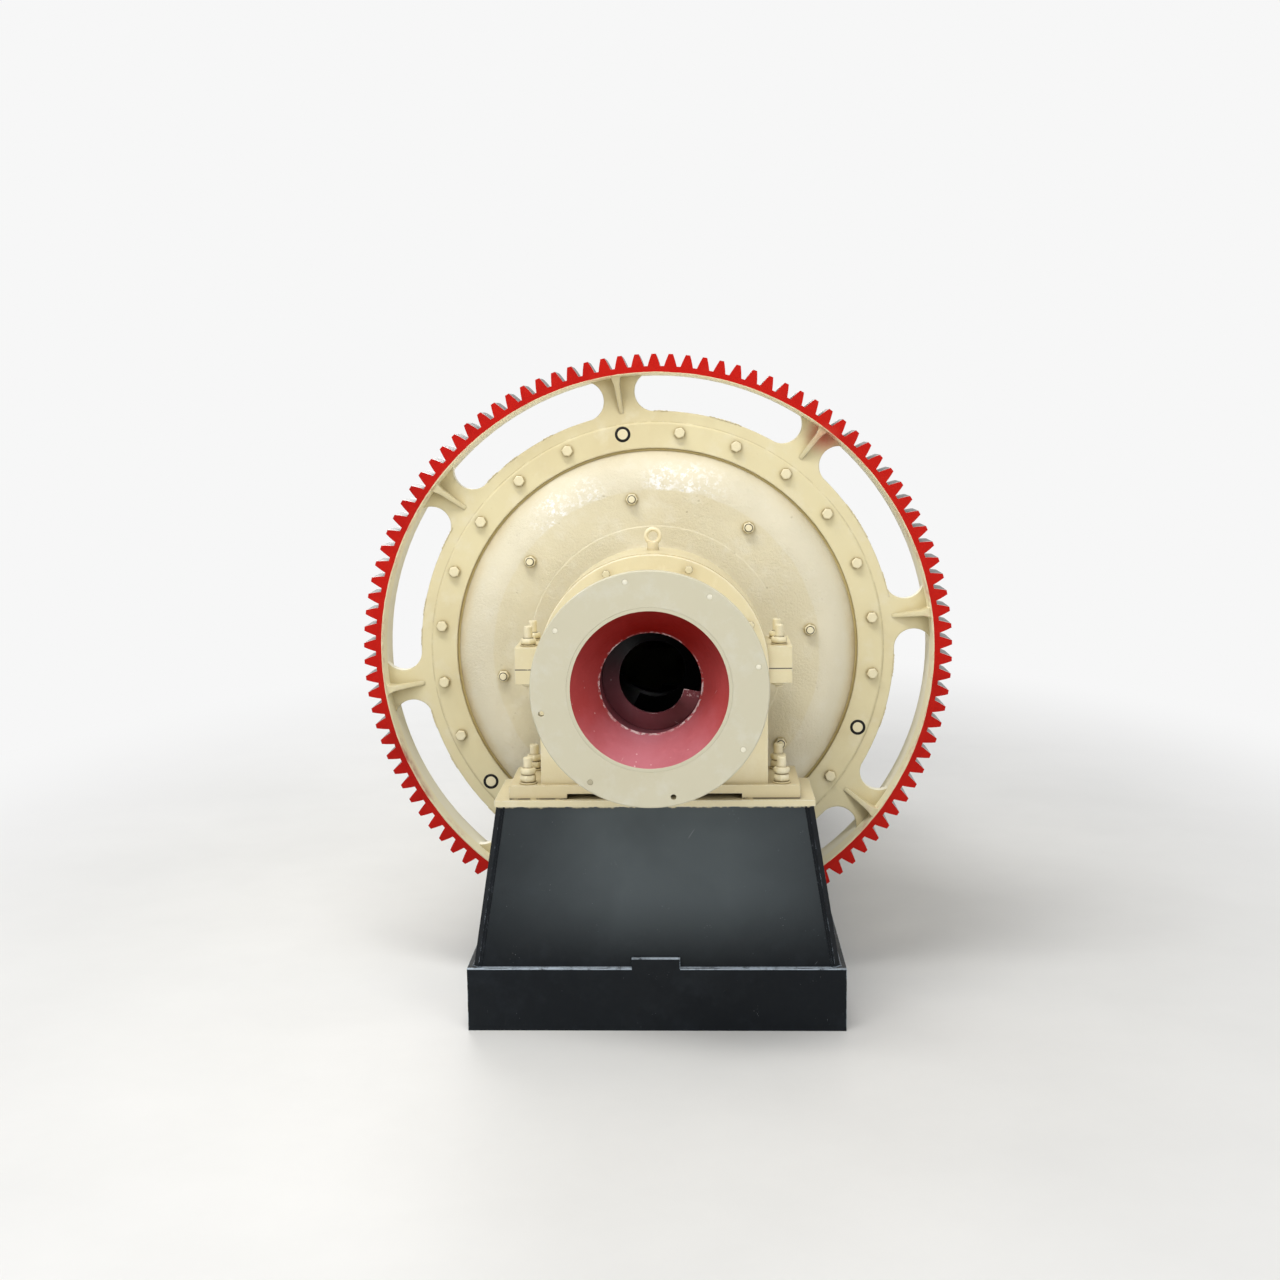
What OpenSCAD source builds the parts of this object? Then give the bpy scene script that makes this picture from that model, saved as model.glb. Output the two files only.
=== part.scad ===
// Small trunnion ball mill on a channel-iron base: girth gear and discharge end at the front (-Y),
// feed end at the rear (+Y), mill axis along Y. Millimetres, ground at z = 0.

/* [Drum] */
// Length of the shell between the outer faces of its flanges
drum_len = 1800; // [1500:10:2400]
// Inside diameter of the bare shell
drum_bore_d = 900; // [860:2:904]
// Thickness of the shell plate
shell_t = 15; // [10:1:18]
// Outside diameter of the shell flanges and of the end covers
flange_od = 1200; // [1192:2:1216]
// Thickness of each shell flange
shell_flange_t = 30; // [20:1:36]
// Thickness of the liner plates inside the shell
liner_t = 32; // [20:1:40]
// Height of the lifter bars above the liner plates
lifter_h = 25; // [10:1:40]
// Number of lifter bars round the drum
lifter_count = 12; // [8:1:16]

/* [Girth gear] */
// Gear module
gear_module = 13.75; // [13.5:0.05:14]
// Number of teeth
gear_teeth = 110; // [108:1:112]
// Face width of the gear rim
gear_face = 128; // [110:2:130]
// Depth of the web below the front of the rim
web_recess = 50; // [40:1:56]
// Thickness of the gear web
web_t = 28; // [22:1:34]
// Inside diameter of the gear hub ring
hub_bore_d = 1060; // [1056:2:1068]
// Number of spokes and slots
spoke_count = 8; // [6:1:10]
// Radius of the inner edge of the slots
slot_in_r = 626; // [618:1:636]
// Width of a spoke between two slots, in degrees
spoke_deg = 7; // [5:0.5:12]
// Bolt circle diameter of the gear, the covers and the shell flanges
flange_pcd = 1144; // [1138:1:1150]
// Diameter of the clear holes round the locating pins
pin_hole_d = 32; // [26:1:36]
// Diameter of the locating pins
pin_d = 25; // [20:1:25]
// Turn of the gear at rest, clockwise from the top as seen from the front
gear_turn = -8.3; // [-22:0.1:22]
// Turn of the ribs and slots from the line of the pins
rib_turn = 0.5; // [-2:0.1:2]
// Turn of the nearest tooth from the line of the pins
tooth_turn = -1.4; // [-1.6:0.1:1.6]

/* [End covers] */
// Thickness of the cover flange
cover_flange_t = 30; // [24:1:36]
// Radius where the rounded shoulder of the face ends
face_r = 424; // [410:1:436]
// Forward reach of the flat face from the flange
face_rise = 88; // [80:1:94]
// Radius of the low step round the neck
step_r = 330; // [310:2:350]
// Radius of the neck behind the bearing
neck_r = 250; // [235:1:260]
// Fillet between the face and the neck
neck_fillet = 36; // [20:1:45]
// Wall of the cover casting
cover_wall = 36; // [28:1:42]

/* [Trunnion] */
// Height of the mill axis over the ground
axis_h = 906; // [890:2:960]
// Distance from the front of the gear to the middle of the bearing
bearing_ahead = 198; // [190:2:230]
// Diameter of the journal in the bearing
journal_d = 400; // [396:2:404]
// Diameter of the tube ahead of the bearing
tube_d = 372; // [366:2:380]
// Diameter of the bore that holds the trunnion liner
trunnion_bore_d = 300; // [280:2:310]
// Distance from the middle of the bearing to the mouth
mouth_ahead = 413; // [360:2:460]
// Outside diameter of the mouth flange
mouth_od = 540; // [530:2:560]
// Thickness of the mouth flange
mouth_t = 20; // [14:1:24]
// Diameter of the wide end of the cone
cone_d = 358; // [350:2:360]
// Length of the cone
cone_len = 100; // [80:2:130]
// Inside diameter of the liner tube
liner_tube_d = 235; // [226:1:250]
// Wall of the trunnion liner
liner_wall = 8; // [6:1:10]
// Height of the spiral flight inside the tube
flight_h = 40; // [30:1:42]
// Lead of the spiral flight
flight_lead = 230; // [200:10:280]
// Front end of the spiral flight, clockwise from the top
flight_turn = 100; // [80:5:130]
// Bolt circle diameter of the mouth flange
mouth_pcd = 500; // [480:2:504]
// Number of holes in the mouth flange
mouth_holes = 8; // [6:1:12]
// Diameter of the holes in the mouth flange
mouth_hole_d = 13; // [9:1:14]

/* [Bearing] */
// Length of the bearing barrel along the axis
barrel_len = 196; // [190:2:206]
// Wall of the bearing barrel round the bush
barrel_wall = 53; // [48:1:58]
// Wall of the bearing bush
bush_wall = 30; // [22:1:34]
// Width of each bearing ear
ear_w = 60; // [54:1:64]
// Height of the cap ear over the split
cap_ear_h = 54; // [44:1:60]
// Height of the housing ear under the split
low_ear_h = 36; // [30:1:46]
// Reach of the housing foot beyond its studs
foot_edge = 44; // [38:1:50]
// Length of the housing foot along the axis
foot_len = 220; // [214:2:226]
// Thickness of the housing foot
foot_t = 35; // [28:1:42]
// Width of the relief under the foot
relief_w = 430; // [380:5:460]
// Height of the relief under the foot
relief_h = 14; // [8:1:20]
// Thickness of the bearing cover ring
cover_ring_t = 14; // [10:1:16]
// Nominal diameter of the cap studs
cap_stud_d = 20; // [16:2:24]
// Distance between the cap studs along the axis
cap_stud_gap = 112; // [100:2:124]
// Nominal diameter of the foundation studs
foot_stud_d = 24; // [20:1:24]
// Distance of the foundation studs from the side of the housing
foot_stud_out = 34; // [32:1:38]
// Distance between the foundation studs along the axis
foot_stud_gap = 162; // [150:2:166]

/* [Pedestal and base] */
// Thickness of the sole plate on the pedestal
sole_t = 15; // [10:1:20]
// Reach of the pedestal's top beyond the housing foot, at each side
ped_top_over = 33; // [27:1:43]
// Distance from the side of the base to the pedestal's foot
ped_inset = 15; // [9:1:25]
// Length of the pedestal along the axis
ped_len = 243; // [236:1:250]
// Thickness of the pedestal side plates
ped_side_t = 20; // [14:1:24]
// Thickness of the pedestal front and rear plates
ped_plate_t = 12; // [8:1:16]
// Bevel along the outer corners of the side plates
ped_bevel = 12; // [6:1:13]
// Height of the base channels
channel_h = 160; // [140:2:180]
// Flange width of the base channels
channel_flange = 65; // [58:1:70]
// Web thickness of the base channels
channel_web = 9; // [7:0.5:10]
// Flange thickness of the base channels
channel_ft = 10; // [8:0.5:12]
// Width of the base over its side channels
base_w = 942; // [930:2:960]
// Width of the tab on the end channel
tab_w = 120; // [80:2:160]
// Height of the tab over the channel
tab_h = 27; // [15:1:40]

/* [Manhole] */
// Opening of the manhole along the drum
manhole_len = 320; // [260:10:400]
// Opening of the manhole across the drum
manhole_w = 230; // [180:5:260]
// Place of the manhole round the drum, clockwise from the top as seen from the front
manhole_deg = 105; // [90:5:150]

/* [Hidden] */

$fn = 96;
eps = 1;                 // overshoot of cuts
seat = 0.3;              // gap between pieces that are fitted into each other
run = 0.05;              // radial running clearance of the journals
fit = 0.1;               // radial gap of turned pieces fitted over each other
clear = 5;               // gap between turning and standing pieces

cream = "#ddd2a8";
red = "#c3201c";
black = "#26282a";
steel = "#9a9c9c";

// Radii of the drum and the gear
shell_in_r = drum_bore_d / 2;
shell_r = shell_in_r + shell_t;
flange_r = flange_od / 2;
pitch_r = gear_module * gear_teeth / 2;
tip_r = pitch_r + gear_module;
root_r = pitch_r - 1.25 * gear_module;
rim_wall = 17;           // rim under the teeth
rim_in_r = root_r - rim_wall;
rim_draft = 3.5;         // how far the rim thickens down to the web
slot_out_r = rim_in_r + 5;
slot_half_deg = (360 / spoke_count - spoke_deg) / 2;
pad_r = 598;             // edge of the machined pad round the hub
pad_h = 4;               // height of the pad over the web
tooth_steps = 3;         // straight steps along one tooth flank
pressure = 20;           // pressure angle of the teeth

// Places along the mill axis, from the middle of the drum towards the mouth
drum_end = drum_len / 2;
web_back = drum_end + cover_flange_t;
web_front = web_back + web_t;
gear_front = web_front + web_recess;
gear_back = gear_front - gear_face;
bearing_s = gear_front + bearing_ahead;
barrel_front = bearing_s + barrel_len / 2;
barrel_back = bearing_s - barrel_len / 2;
inner_ring_back = barrel_back - cover_ring_t;
neck_front = inner_ring_back - 8;
bush_inset = 4;          // how far the bush ends inside the barrel
journal_front = barrel_front - bush_inset;
mouth_s = bearing_s + mouth_ahead;
tube_end = mouth_s - mouth_t;
ped_front = bearing_s + ped_len / 2;
ped_back = bearing_s - ped_len / 2;
base_end = ped_front + channel_web;

// End cover face
face_s = web_back + face_rise;
step_h = 2;
register_r = hub_bore_d / 2 - 5 * fit;
neck_chamfer = 6;

// Trunnion, liner and cone
journal_r = journal_d / 2;
tube_r = tube_d / 2;
bore_r = trunnion_bore_d / 2;
cone_r = cone_d / 2;
liner_in_r = liner_tube_d / 2;
cone_slope = (cone_r - liner_in_r) / cone_len;
cone_foot = mouth_s - cone_len;
bore_cone_s = mouth_s - (cone_r + liner_wall + seat - bore_r) / cone_slope;
neck_depth = 120;        // from the flange to where the inside narrows to the bore
liner_end = web_back + 20;
bore_end = web_back + neck_depth;
collar_w = 20;           // width of the seating collars on the liner
front_collar = cone_foot - 2 * collar_w;
rear_collar = bore_end + collar_w;

// Bearing
bush_out_r = journal_r + run + bush_wall;
barrel_r = bush_out_r + barrel_wall;
split_h = axis_h;
under_barrel = 38;       // from the underside of the barrel to the underside of the foot
sole_top = axis_h - barrel_r - under_barrel;
foot_top = sole_top + foot_t;
ped_top = sole_top - sole_t;
ear_root = barrel_r - 5;
ear_out = ear_root + ear_w;
ear_mid = ear_root + ear_w / 2;
column_x = barrel_r - 4; // half width of the housing between barrel and foot
foot_stud_x = column_x + foot_stud_out;
foot_w = 2 * (foot_stud_x + foot_edge);
boss_h = 8;              // height of the lifting boss over the cap
cap_stud_over = 33;      // free thread over the nuts
foot_stud_over = 46;
eye_shank_r = 7;

// Pedestal
ped_top_x = foot_w / 2 + ped_top_over;
ped_foot_x = base_w / 2 - ped_inset;
ped_rise = ped_top - channel_h;
ped_lean = atan((ped_foot_x - ped_top_x) / ped_rise);

// Manhole
manhole_rim = 45;        // width of the frame round the opening
manhole_stand = 45;      // height of the frame over the shell
manhole_sink = 60;       // reach of the frame down the curve of the shell
manhole_out = shell_r + manhole_stand;
manhole_root = shell_r - manhole_sink;

// Nut sizes follow the stud
function across_flats(d) = 1.5 * d;
function nut_h(d) = 0.8 * d;

// Involute tooth: half angle of a tooth at radius r
function involute(a) = tan(a) * 180 / PI - a;
function tooth_half(r) = 90 / gear_teeth + involute(pressure) - involute(acos(pitch_r * cos(pressure) / r));
function polar(r, a) = [r * cos(a), r * sin(a)];
function tooth_r(i) = root_r + (tip_r - root_r) * i / tooth_steps;
function tooth_points(a) = concat(
    [for (i = [0:tooth_steps]) polar(tooth_r(i), a - tooth_half(tooth_r(i)))],
    [for (i = [tooth_steps:-1:0]) polar(tooth_r(i), a + tooth_half(tooth_r(i)))]
);

// Turns the drawing plane so that x stays x, y points up and z points to the mouth at -Y
module on_axis() {
    translate([0, 0, axis_h]) rotate([90, 0, 0]) children();
}

// Same, for the feed end
module on_feed_axis() {
    mirror([0, 1, 0]) on_axis() children();
}

// Copies round the axis, clockwise from the top as seen from the front
module around(count, r, turn = 0) {
    for (i = [0:count - 1])
        rotate([0, 0, -(turn + i * 360 / count)]) translate([0, r, 0]) children();
}

// Hollow cylinder from one place on the axis to another
module ring(out_r, in_r, from, to) {
    translate([0, 0, from]) difference() {
        cylinder(h = to - from, r = out_r);
        translate([0, 0, -eps]) cylinder(h = to - from + 2 * eps, r = in_r);
    }
}

// Base channel, web at x = 0 and flanges towards +x, running along +y
module channel(len) {
    translate([0, len, 0]) rotate([90, 0, 0]) linear_extrude(len) polygon([
        [0, 0], [channel_flange, 0], [channel_flange, channel_ft - 2], [channel_web, channel_ft],
        [channel_web, channel_h - channel_ft], [channel_flange, channel_h - channel_ft + 2],
        [channel_flange, channel_h], [0, channel_h],
    ]);
}

module side_channel() {
    translate([-base_w / 2, -ped_front, 0]) channel(2 * ped_front);
}

module end_channel() {
    inner_x = base_w / 2 - channel_flange - seat;
    translate([-base_w / 2, -base_end, 0]) cube([base_w, channel_web, channel_h]);
    translate([inner_x, -base_end, 0]) rotate([0, 0, 90]) channel(2 * inner_x);
    translate([-tab_w / 2, -base_end, channel_h - eps]) cube([tab_w, channel_web, tab_h + eps]);
}

module cross_channel(s) {
    inner_x = base_w / 2 - channel_flange - seat;
    web_x = base_w / 2 - channel_web - seat;
    translate([inner_x, -s, 0]) rotate([0, 0, 90]) channel(2 * inner_x);
    translate([-web_x, -s, channel_ft + seat])
        cube([2 * web_x, channel_web, channel_h - 2 * (channel_ft + seat)]);
}

// Pedestal end plate between the side plates, from one place on the axis to another
module pedestal_plate(from, to) {
    top_x = ped_top_x - ped_side_t / cos(ped_lean);
    foot_x = ped_foot_x - ped_side_t / cos(ped_lean);
    translate([0, -from, 0]) rotate([90, 0, 0]) linear_extrude(to - from) polygon([
        [-foot_x, channel_h], [foot_x, channel_h], [top_x, ped_top], [-top_x, ped_top],
    ]);
}

// Leaning side plate on the right, trimmed level at its top and foot
module pedestal_side() {
    reach = 2 * ped_rise;
    intersection() {
        translate([ped_foot_x, -ped_front, channel_h]) rotate([0, -ped_lean, 0])
            translate([0, 0, -ped_rise / 2]) linear_extrude(reach) polygon([
                [-ped_side_t, 0], [-ped_bevel, 0], [0, ped_bevel],
                [0, ped_len - ped_bevel], [-ped_bevel, ped_len], [-ped_side_t, ped_len],
            ]);
        translate([0, -ped_front - eps, channel_h]) cube([2 * ped_foot_x, ped_len + 2 * eps, ped_rise]);
    }
}

module sole_plate() {
    over = 3;
    translate([-ped_top_x - over, -ped_front - over, ped_top])
        cube([2 * (ped_top_x + over), ped_len + 2 * over, sole_t]);
}

// Bore that holds the bush, in the housing and the cap
module bush_bore() {
    on_axis() translate([0, 0, barrel_back - eps])
        cylinder(h = barrel_len + 2 * eps, r = bush_out_r + fit);
}

// Bearing housing below the split
module bearing_housing() {
    difference() {
        union() {
            translate([0, -barrel_back, 0]) rotate([90, 0, 0]) linear_extrude(barrel_len) union() {
                intersection() {
                    translate([0, axis_h]) circle(r = barrel_r);
                    translate([-barrel_r, axis_h - barrel_r]) square([2 * barrel_r, barrel_r]);
                }
                translate([-column_x, foot_top - eps]) square([2 * column_x, split_h - foot_top + eps]);
                translate([-ear_out, split_h - low_ear_h]) square([2 * ear_out, low_ear_h]);
            }
            translate([-foot_w / 2, -bearing_s - foot_len / 2, sole_top]) cube([foot_w, foot_len, foot_t]);
        }
        bush_bore();
        translate([-relief_w / 2, -bearing_s - foot_len / 2 - eps, sole_top - eps])
            cube([relief_w, foot_len + 2 * eps, relief_h + eps]);
        housing_pocket();
        for (x = [-1, 1], y = [-1, 1]) {
            translate([x * ear_mid, -bearing_s + y * cap_stud_gap / 2, split_h - low_ear_h - eps])
                cylinder(h = low_ear_h + 2 * eps, d = cap_stud_d + 2 * seat);
            translate([x * foot_stud_x, -bearing_s + y * foot_stud_gap / 2, sole_top - eps])
                cylinder(h = foot_t + 2 * eps, d = foot_stud_d + 2 * seat);
        }
    }
}

// Cored space under the bush, open to the sole plate
module housing_pocket() {
    wall = 24;
    below_split = 60;
    difference() {
        translate([-column_x + wall, -barrel_front + wall, sole_top - eps])
            cube([2 * (column_x - wall), barrel_len - 2 * wall, split_h - sole_top - below_split]);
        on_axis() translate([0, 0, barrel_back - eps])
            cylinder(h = barrel_len + 2 * eps, r = bush_out_r + wall);
    }
}

// Bearing cap above the split
module bearing_cap() {
    boss_r = 15;
    difference() {
        union() {
            translate([0, -barrel_back, 0]) rotate([90, 0, 0]) linear_extrude(barrel_len) union() {
                intersection() {
                    translate([0, axis_h]) circle(r = barrel_r);
                    translate([-barrel_r, axis_h]) square([2 * barrel_r, barrel_r]);
                }
                translate([-ear_out, split_h]) square([2 * ear_out, cap_ear_h]);
            }
            translate([0, -bearing_s, axis_h + barrel_r - boss_h]) cylinder(h = 2 * boss_h, r = boss_r);
        }
        bush_bore();
        for (x = [-1, 1], y = [-1, 1])
            translate([x * ear_mid, -bearing_s + y * cap_stud_gap / 2, split_h - eps])
                cylinder(h = cap_ear_h + 2 * eps, d = cap_stud_d + 2 * seat);
        translate([0, -bearing_s, axis_h + barrel_r - boss_h])
            cylinder(h = 2 * boss_h + eps, r = eye_shank_r + seat);
    }
}

module bearing_bush() {
    ring(bush_out_r, journal_r + run, barrel_back + bush_inset, barrel_front - bush_inset);
}

// Stepped cover ring on the mouth side of the bearing: broad screwed face, then a low step and a lip
module outer_cover_ring() {
    in_r = tube_r + clear;
    out_r = barrel_r - 2;
    face = barrel_front + cover_ring_t;
    step = 6;
    step_r = barrel_r - 44;
    lip_r = tube_r + 18;
    rotate_extrude() polygon([
        [in_r, barrel_front], [out_r, barrel_front], [out_r, face - 2], [out_r - 2, face],
        [step_r + 2, face], [step_r, face + step], [lip_r + step, face + step],
        [lip_r, face + 2 * step], [in_r, face + 2 * step],
    ]);
}

module inner_cover_ring() {
    ring(barrel_r - 8, journal_r + clear + 1, inner_ring_back, barrel_back);
}

module lifting_eye() {
    ring_r = 17;
    bar_r = 5.5;
    collar_r = 14;
    collar_h = 12;
    shank = 16;
    translate([0, -bearing_s, axis_h + barrel_r + boss_h]) {
        cylinder(h = collar_h, r = collar_r);
        translate([0, 0, -shank]) cylinder(h = shank + eps, r = eye_shank_r);
        translate([0, 0, collar_h - 2 + ring_r]) rotate([90, 0, 0])
            rotate_extrude() translate([ring_r, 0]) circle(r = bar_r);
    }
}

// Stud with a nut, threaded end up; z = 0 is the face under the nut
module stud(d, below, above) {
    translate([0, 0, -below]) cylinder(h = below + above, d = d);
    cylinder(h = nut_h(d), d = across_flats(d) / cos(30), $fn = 6);
}

module cap_studs_at(s) {
    for (x = [-1, 1], y = [-1, 1])
        translate([x * ear_mid, -s + y * cap_stud_gap / 2, split_h + cap_ear_h])
            stud(cap_stud_d, cap_ear_h + low_ear_h, nut_h(cap_stud_d) + cap_stud_over);
}

module foundation_studs_at(s) {
    for (x = [-1, 1], y = [-1, 1])
        translate([x * foot_stud_x, -s + y * foot_stud_gap / 2, foot_top])
            stud(foot_stud_d, foot_t, nut_h(foot_stud_d) + foot_stud_over);
}

// Space of the manhole, from the middle of the drum outwards
module manhole_hole(grow = 0) {
    rotate([0, 0, -manhole_deg]) translate([-manhole_w / 2 - grow, 0, -manhole_len / 2 - grow])
        cube([manhole_w + 2 * grow, flange_r, manhole_len + 2 * grow]);
}

module drum_shell() {
    color(cream) on_axis() difference() {
        ring(shell_r, shell_in_r, -drum_end, drum_end);
        manhole_hole();
    }
}

module drum_liner() {
    lifter_w = 60;
    sunk = 4;
    in_r = shell_in_r - liner_t;
    len = drum_len - 20;
    color("dimgray") on_axis() difference() {
        translate([0, 0, -len / 2]) linear_extrude(len) difference() {
            circle(r = shell_in_r - seat);
            difference() {
                circle(r = in_r);
                around(lifter_count, in_r - (lifter_h - sunk) / 2)
                    square([lifter_w, lifter_h + sunk], center = true);
            }
        }
        manhole_hole();
    }
}

module shell_flange() {
    ring(flange_r, shell_r + fit, drum_end - shell_flange_t, drum_end);
}

module manhole_frame() {
    color(cream) on_axis() difference() {
        rotate([0, 0, -manhole_deg])
            translate([-manhole_w / 2 - manhole_rim, manhole_root, -manhole_len / 2 - manhole_rim])
            cube([manhole_w + 2 * manhole_rim, manhole_out - manhole_root, manhole_len + 2 * manhole_rim]);
        manhole_hole();
        translate([0, 0, -manhole_len]) cylinder(h = 2 * manhole_len, r = shell_r + fit);
    }
}

module manhole_cover() {
    plate_t = 14;
    over = 30;
    plug_gap = 12;
    grip_r = 5;
    grip_w = 110;
    grip_h = 30;
    color(cream) on_axis() rotate([0, 0, -manhole_deg]) translate([0, manhole_out, 0]) {
        translate([-manhole_w / 2 - over, 0, -manhole_len / 2 - over])
            cube([manhole_w + 2 * over, plate_t, manhole_len + 2 * over]);
        translate([0, -liner_t, 0])
            cube([manhole_w - plug_gap, 2 * liner_t, manhole_len - plug_gap], center = true);
        for (z = [-1, 1]) translate([0, plate_t - 1, z * grip_w / 2]) rotate([-90, 0, 0])
            cylinder(h = grip_h + 1, r = grip_r);
        translate([0, plate_t + grip_h, -grip_w / 2 - grip_r])
            cylinder(h = grip_w + 2 * grip_r, r = grip_r);
    }
}

// One slot of the gear web, pointing up, its round ends trimmed by both edges; it runs on into the rim
module gear_slot() {
    end_r = (slot_out_r - slot_in_r) / 2;
    mid_r = (slot_out_r + slot_in_r) / 2;
    end_deg = slot_half_deg - asin(end_r / mid_r);
    far = 2 * slot_out_r;
    intersection() {
        difference() {
            circle(r = slot_out_r);
            circle(r = slot_in_r);
        }
        union() {
            polygon([[0, 0], polar(far, 90 - end_deg), polar(far, 90 + end_deg)]);
            for (a = [-end_deg, end_deg]) rotate([0, 0, a]) translate([0, mid_r]) circle(r = end_r + 0.5);
        }
    }
}

// Gusset on the front of a spoke: low and narrow at the hub ring, high and flared at the rim
module gear_rib() {
    foot_r = slot_in_r;
    top_r = rim_in_r + 4;
    flare_r = top_r - 26;
    foot_w = 5;
    mid_w = 7;
    top_w = 14;
    low = web_front - eps;
    intersection() {
        translate([0, 0, low]) linear_extrude(web_recess + eps) polygon([
            [-foot_w, foot_r], [foot_w, foot_r], [mid_w, flare_r],
            [top_w, top_r], [-top_w, top_r], [-mid_w, flare_r],
        ]);
        translate([-2 * top_w, 0, 0]) rotate([90, 0, 90]) linear_extrude(4 * top_w) polygon([
            [foot_r, low], [top_r, low], [top_r, gear_front - 6],
            [top_r - 18, gear_front - 10], [foot_r, web_front + 2],
        ]);
    }
}

// Toothed rim, its bore slightly narrower at the web and behind it than at the front
module gear_rim() {
    difference() {
        translate([0, 0, gear_back]) linear_extrude(gear_face)
            polygon([for (i = [0:gear_teeth - 1]) each tooth_points(90 - tooth_turn + i * 360 / gear_teeth)]);
        rotate_extrude() polygon([
            [0, gear_back - eps], [rim_in_r - rim_draft, gear_back - eps],
            [rim_in_r - rim_draft, web_front], [rim_in_r, gear_front + eps], [0, gear_front + eps],
        ]);
    }
}

// Slotted web with the machined pad round the hub
module gear_web() {
    difference() {
        rotate_extrude() polygon([
            [0, web_back], [rim_in_r + 3, web_back], [rim_in_r + 3, web_front], [pad_r, web_front],
            [pad_r - pad_h, web_front + pad_h], [0, web_front + pad_h],
        ]);
        translate([0, 0, web_back - eps]) linear_extrude(web_t + 2 * eps)
            around(spoke_count, 0, 180 / spoke_count + rib_turn) gear_slot();
    }
}

module girth_gear() {
    color(red) on_axis() rotate([0, 0, -gear_turn]) difference() {
        union() {
            gear_rim();
            gear_web();
            around(spoke_count, 0, rib_turn) gear_rib();
        }
        translate([0, 0, web_back - eps]) cylinder(h = web_t + pad_h + 2 * eps, d = hub_bore_d);
        around(3, flange_pcd / 2) translate([0, 0, web_back - eps])
            cylinder(h = web_t + pad_h + 2 * eps, d = pin_hole_d);
    }
}

module gear_locating_pins() {
    color(cream) on_axis() around(3, flange_pcd / 2, gear_turn) translate([0, 0, web_back])
        cylinder(h = web_t + pad_h - 2, d = pin_d);
}

// End cover cast in one piece with its hollow trunnion; the profile starts at the mouth and returns inside
module end_cover() {
    neck_in_r = neck_r - cover_wall;
    shoulder_r = register_r - face_r + 4;
    shoulder_at = [face_r, face_s - shoulder_r];
    shoulder_turn = asin((register_r - face_r) / shoulder_r);
    fillet_at = [neck_r + neck_fillet, face_s + step_h + neck_fillet];
    rotate_extrude() polygon(concat(
        [
            [cone_r + liner_wall + seat - cone_slope * mouth_t, tube_end], [tube_r, tube_end],
            [tube_r, journal_front], [journal_r, journal_front], [journal_r, neck_front],
            [neck_r - neck_chamfer, neck_front], [neck_r, neck_front - neck_chamfer],
        ],
        [for (a = [180:15:270]) fillet_at + polar(neck_fillet, a)],
        [[step_r, face_s + step_h], [step_r + step_h, face_s]],
        [for (i = [0:9]) shoulder_at + polar(shoulder_r, 90 - shoulder_turn * i / 9)],
        [
            [register_r, web_back], [flange_r, web_back], [flange_r, drum_end],
            [shell_in_r - 8, drum_end], [shell_in_r - 8, drum_end + 14],
        ],
        [for (a = [0:15:90]) shoulder_at + polar(shoulder_r - cover_wall, a)],
        [
            [neck_r + 20, face_s - cover_wall], [neck_in_r, face_s - cover_wall + 30],
            [neck_in_r - 14, bore_end - 20], [bore_r, bore_end], [bore_r, bore_cone_s],
        ]
    ));
}

// Cone and tube that line the trunnion, with two seating collars
module trunnion_liner() {
    out_r = liner_in_r + liner_wall;
    collar_r = bore_r - seat;
    rotate_extrude() polygon([
        [cone_r, mouth_s], [cone_r + liner_wall, mouth_s], [out_r, cone_foot], [out_r, front_collar],
        [collar_r, front_collar], [collar_r, front_collar - collar_w], [out_r, front_collar - collar_w],
        [out_r, rear_collar + collar_w], [collar_r, rear_collar + collar_w], [collar_r, rear_collar],
        [out_r, rear_collar], [out_r, liner_end], [liner_in_r, liner_end], [liner_in_r, cone_foot],
    ]);
}

// Helical blade inside the liner tube, one and a quarter turns
module spiral_flight() {
    out_r = liner_in_r - seat;
    in_r = liner_in_r - flight_h;
    turns = 1.25;
    blade_deg = 17;
    start = cone_foot - 4;
    front = 90 - flight_turn - blade_deg;
    rotate([0, 0, front - 360 * turns]) translate([0, 0, start - turns * flight_lead]) linear_extrude(
        turns * flight_lead, twist = -360 * turns, slices = 45, segments = 6
    ) polygon(concat(
        [for (i = [0:2]) polar(in_r, i * blade_deg / 2)],
        [for (i = [2:-1:0]) polar(out_r, i * blade_deg / 2)]
    ));
}

module mouth_flange() {
    small_r = cone_r + liner_wall + seat - cone_slope * mouth_t;
    difference() {
        rotate_extrude() polygon([
            [small_r, tube_end], [mouth_od / 2, tube_end], [mouth_od / 2, mouth_s - 2],
            [mouth_od / 2 - 2, mouth_s], [cone_r + liner_wall + seat, mouth_s],
        ]);
        around(mouth_holes, mouth_pcd / 2, -12) translate([0, 0, tube_end - eps])
            cylinder(h = mouth_t + 2 * eps, d = mouth_hole_d);
    }
}

module base_side_channel_left() { color(black) side_channel(); }
module base_side_channel_right() { color(black) mirror([1, 0, 0]) side_channel(); }
module base_front_channel() { color(black) end_channel(); }
module base_rear_channel() { color(black) mirror([0, 1, 0]) end_channel(); }
module base_cross_channels() {
    color(black) {
        cross_channel(ped_back + channel_flange);
        cross_channel(channel_flange / 2);
        mirror([0, 1, 0]) cross_channel(ped_back + channel_flange);
    }
}
module both_sides() {
    children();
    mirror([1, 0, 0]) children();
}
module discharge_pedestal_front_plate() { color(black) pedestal_plate(ped_front - ped_plate_t, ped_front); }
module discharge_pedestal_rear_plate() { color(black) pedestal_plate(ped_back, ped_back + ped_plate_t); }
module discharge_pedestal_side_plates() { color(black) both_sides() pedestal_side(); }
module discharge_sole_plate() { color(cream) sole_plate(); }
module discharge_bearing_housing() { color(cream) bearing_housing(); }
module discharge_bearing_cap() { color(cream) bearing_cap(); }
module discharge_bearing_bush() { color(steel) on_axis() bearing_bush(); }
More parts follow.
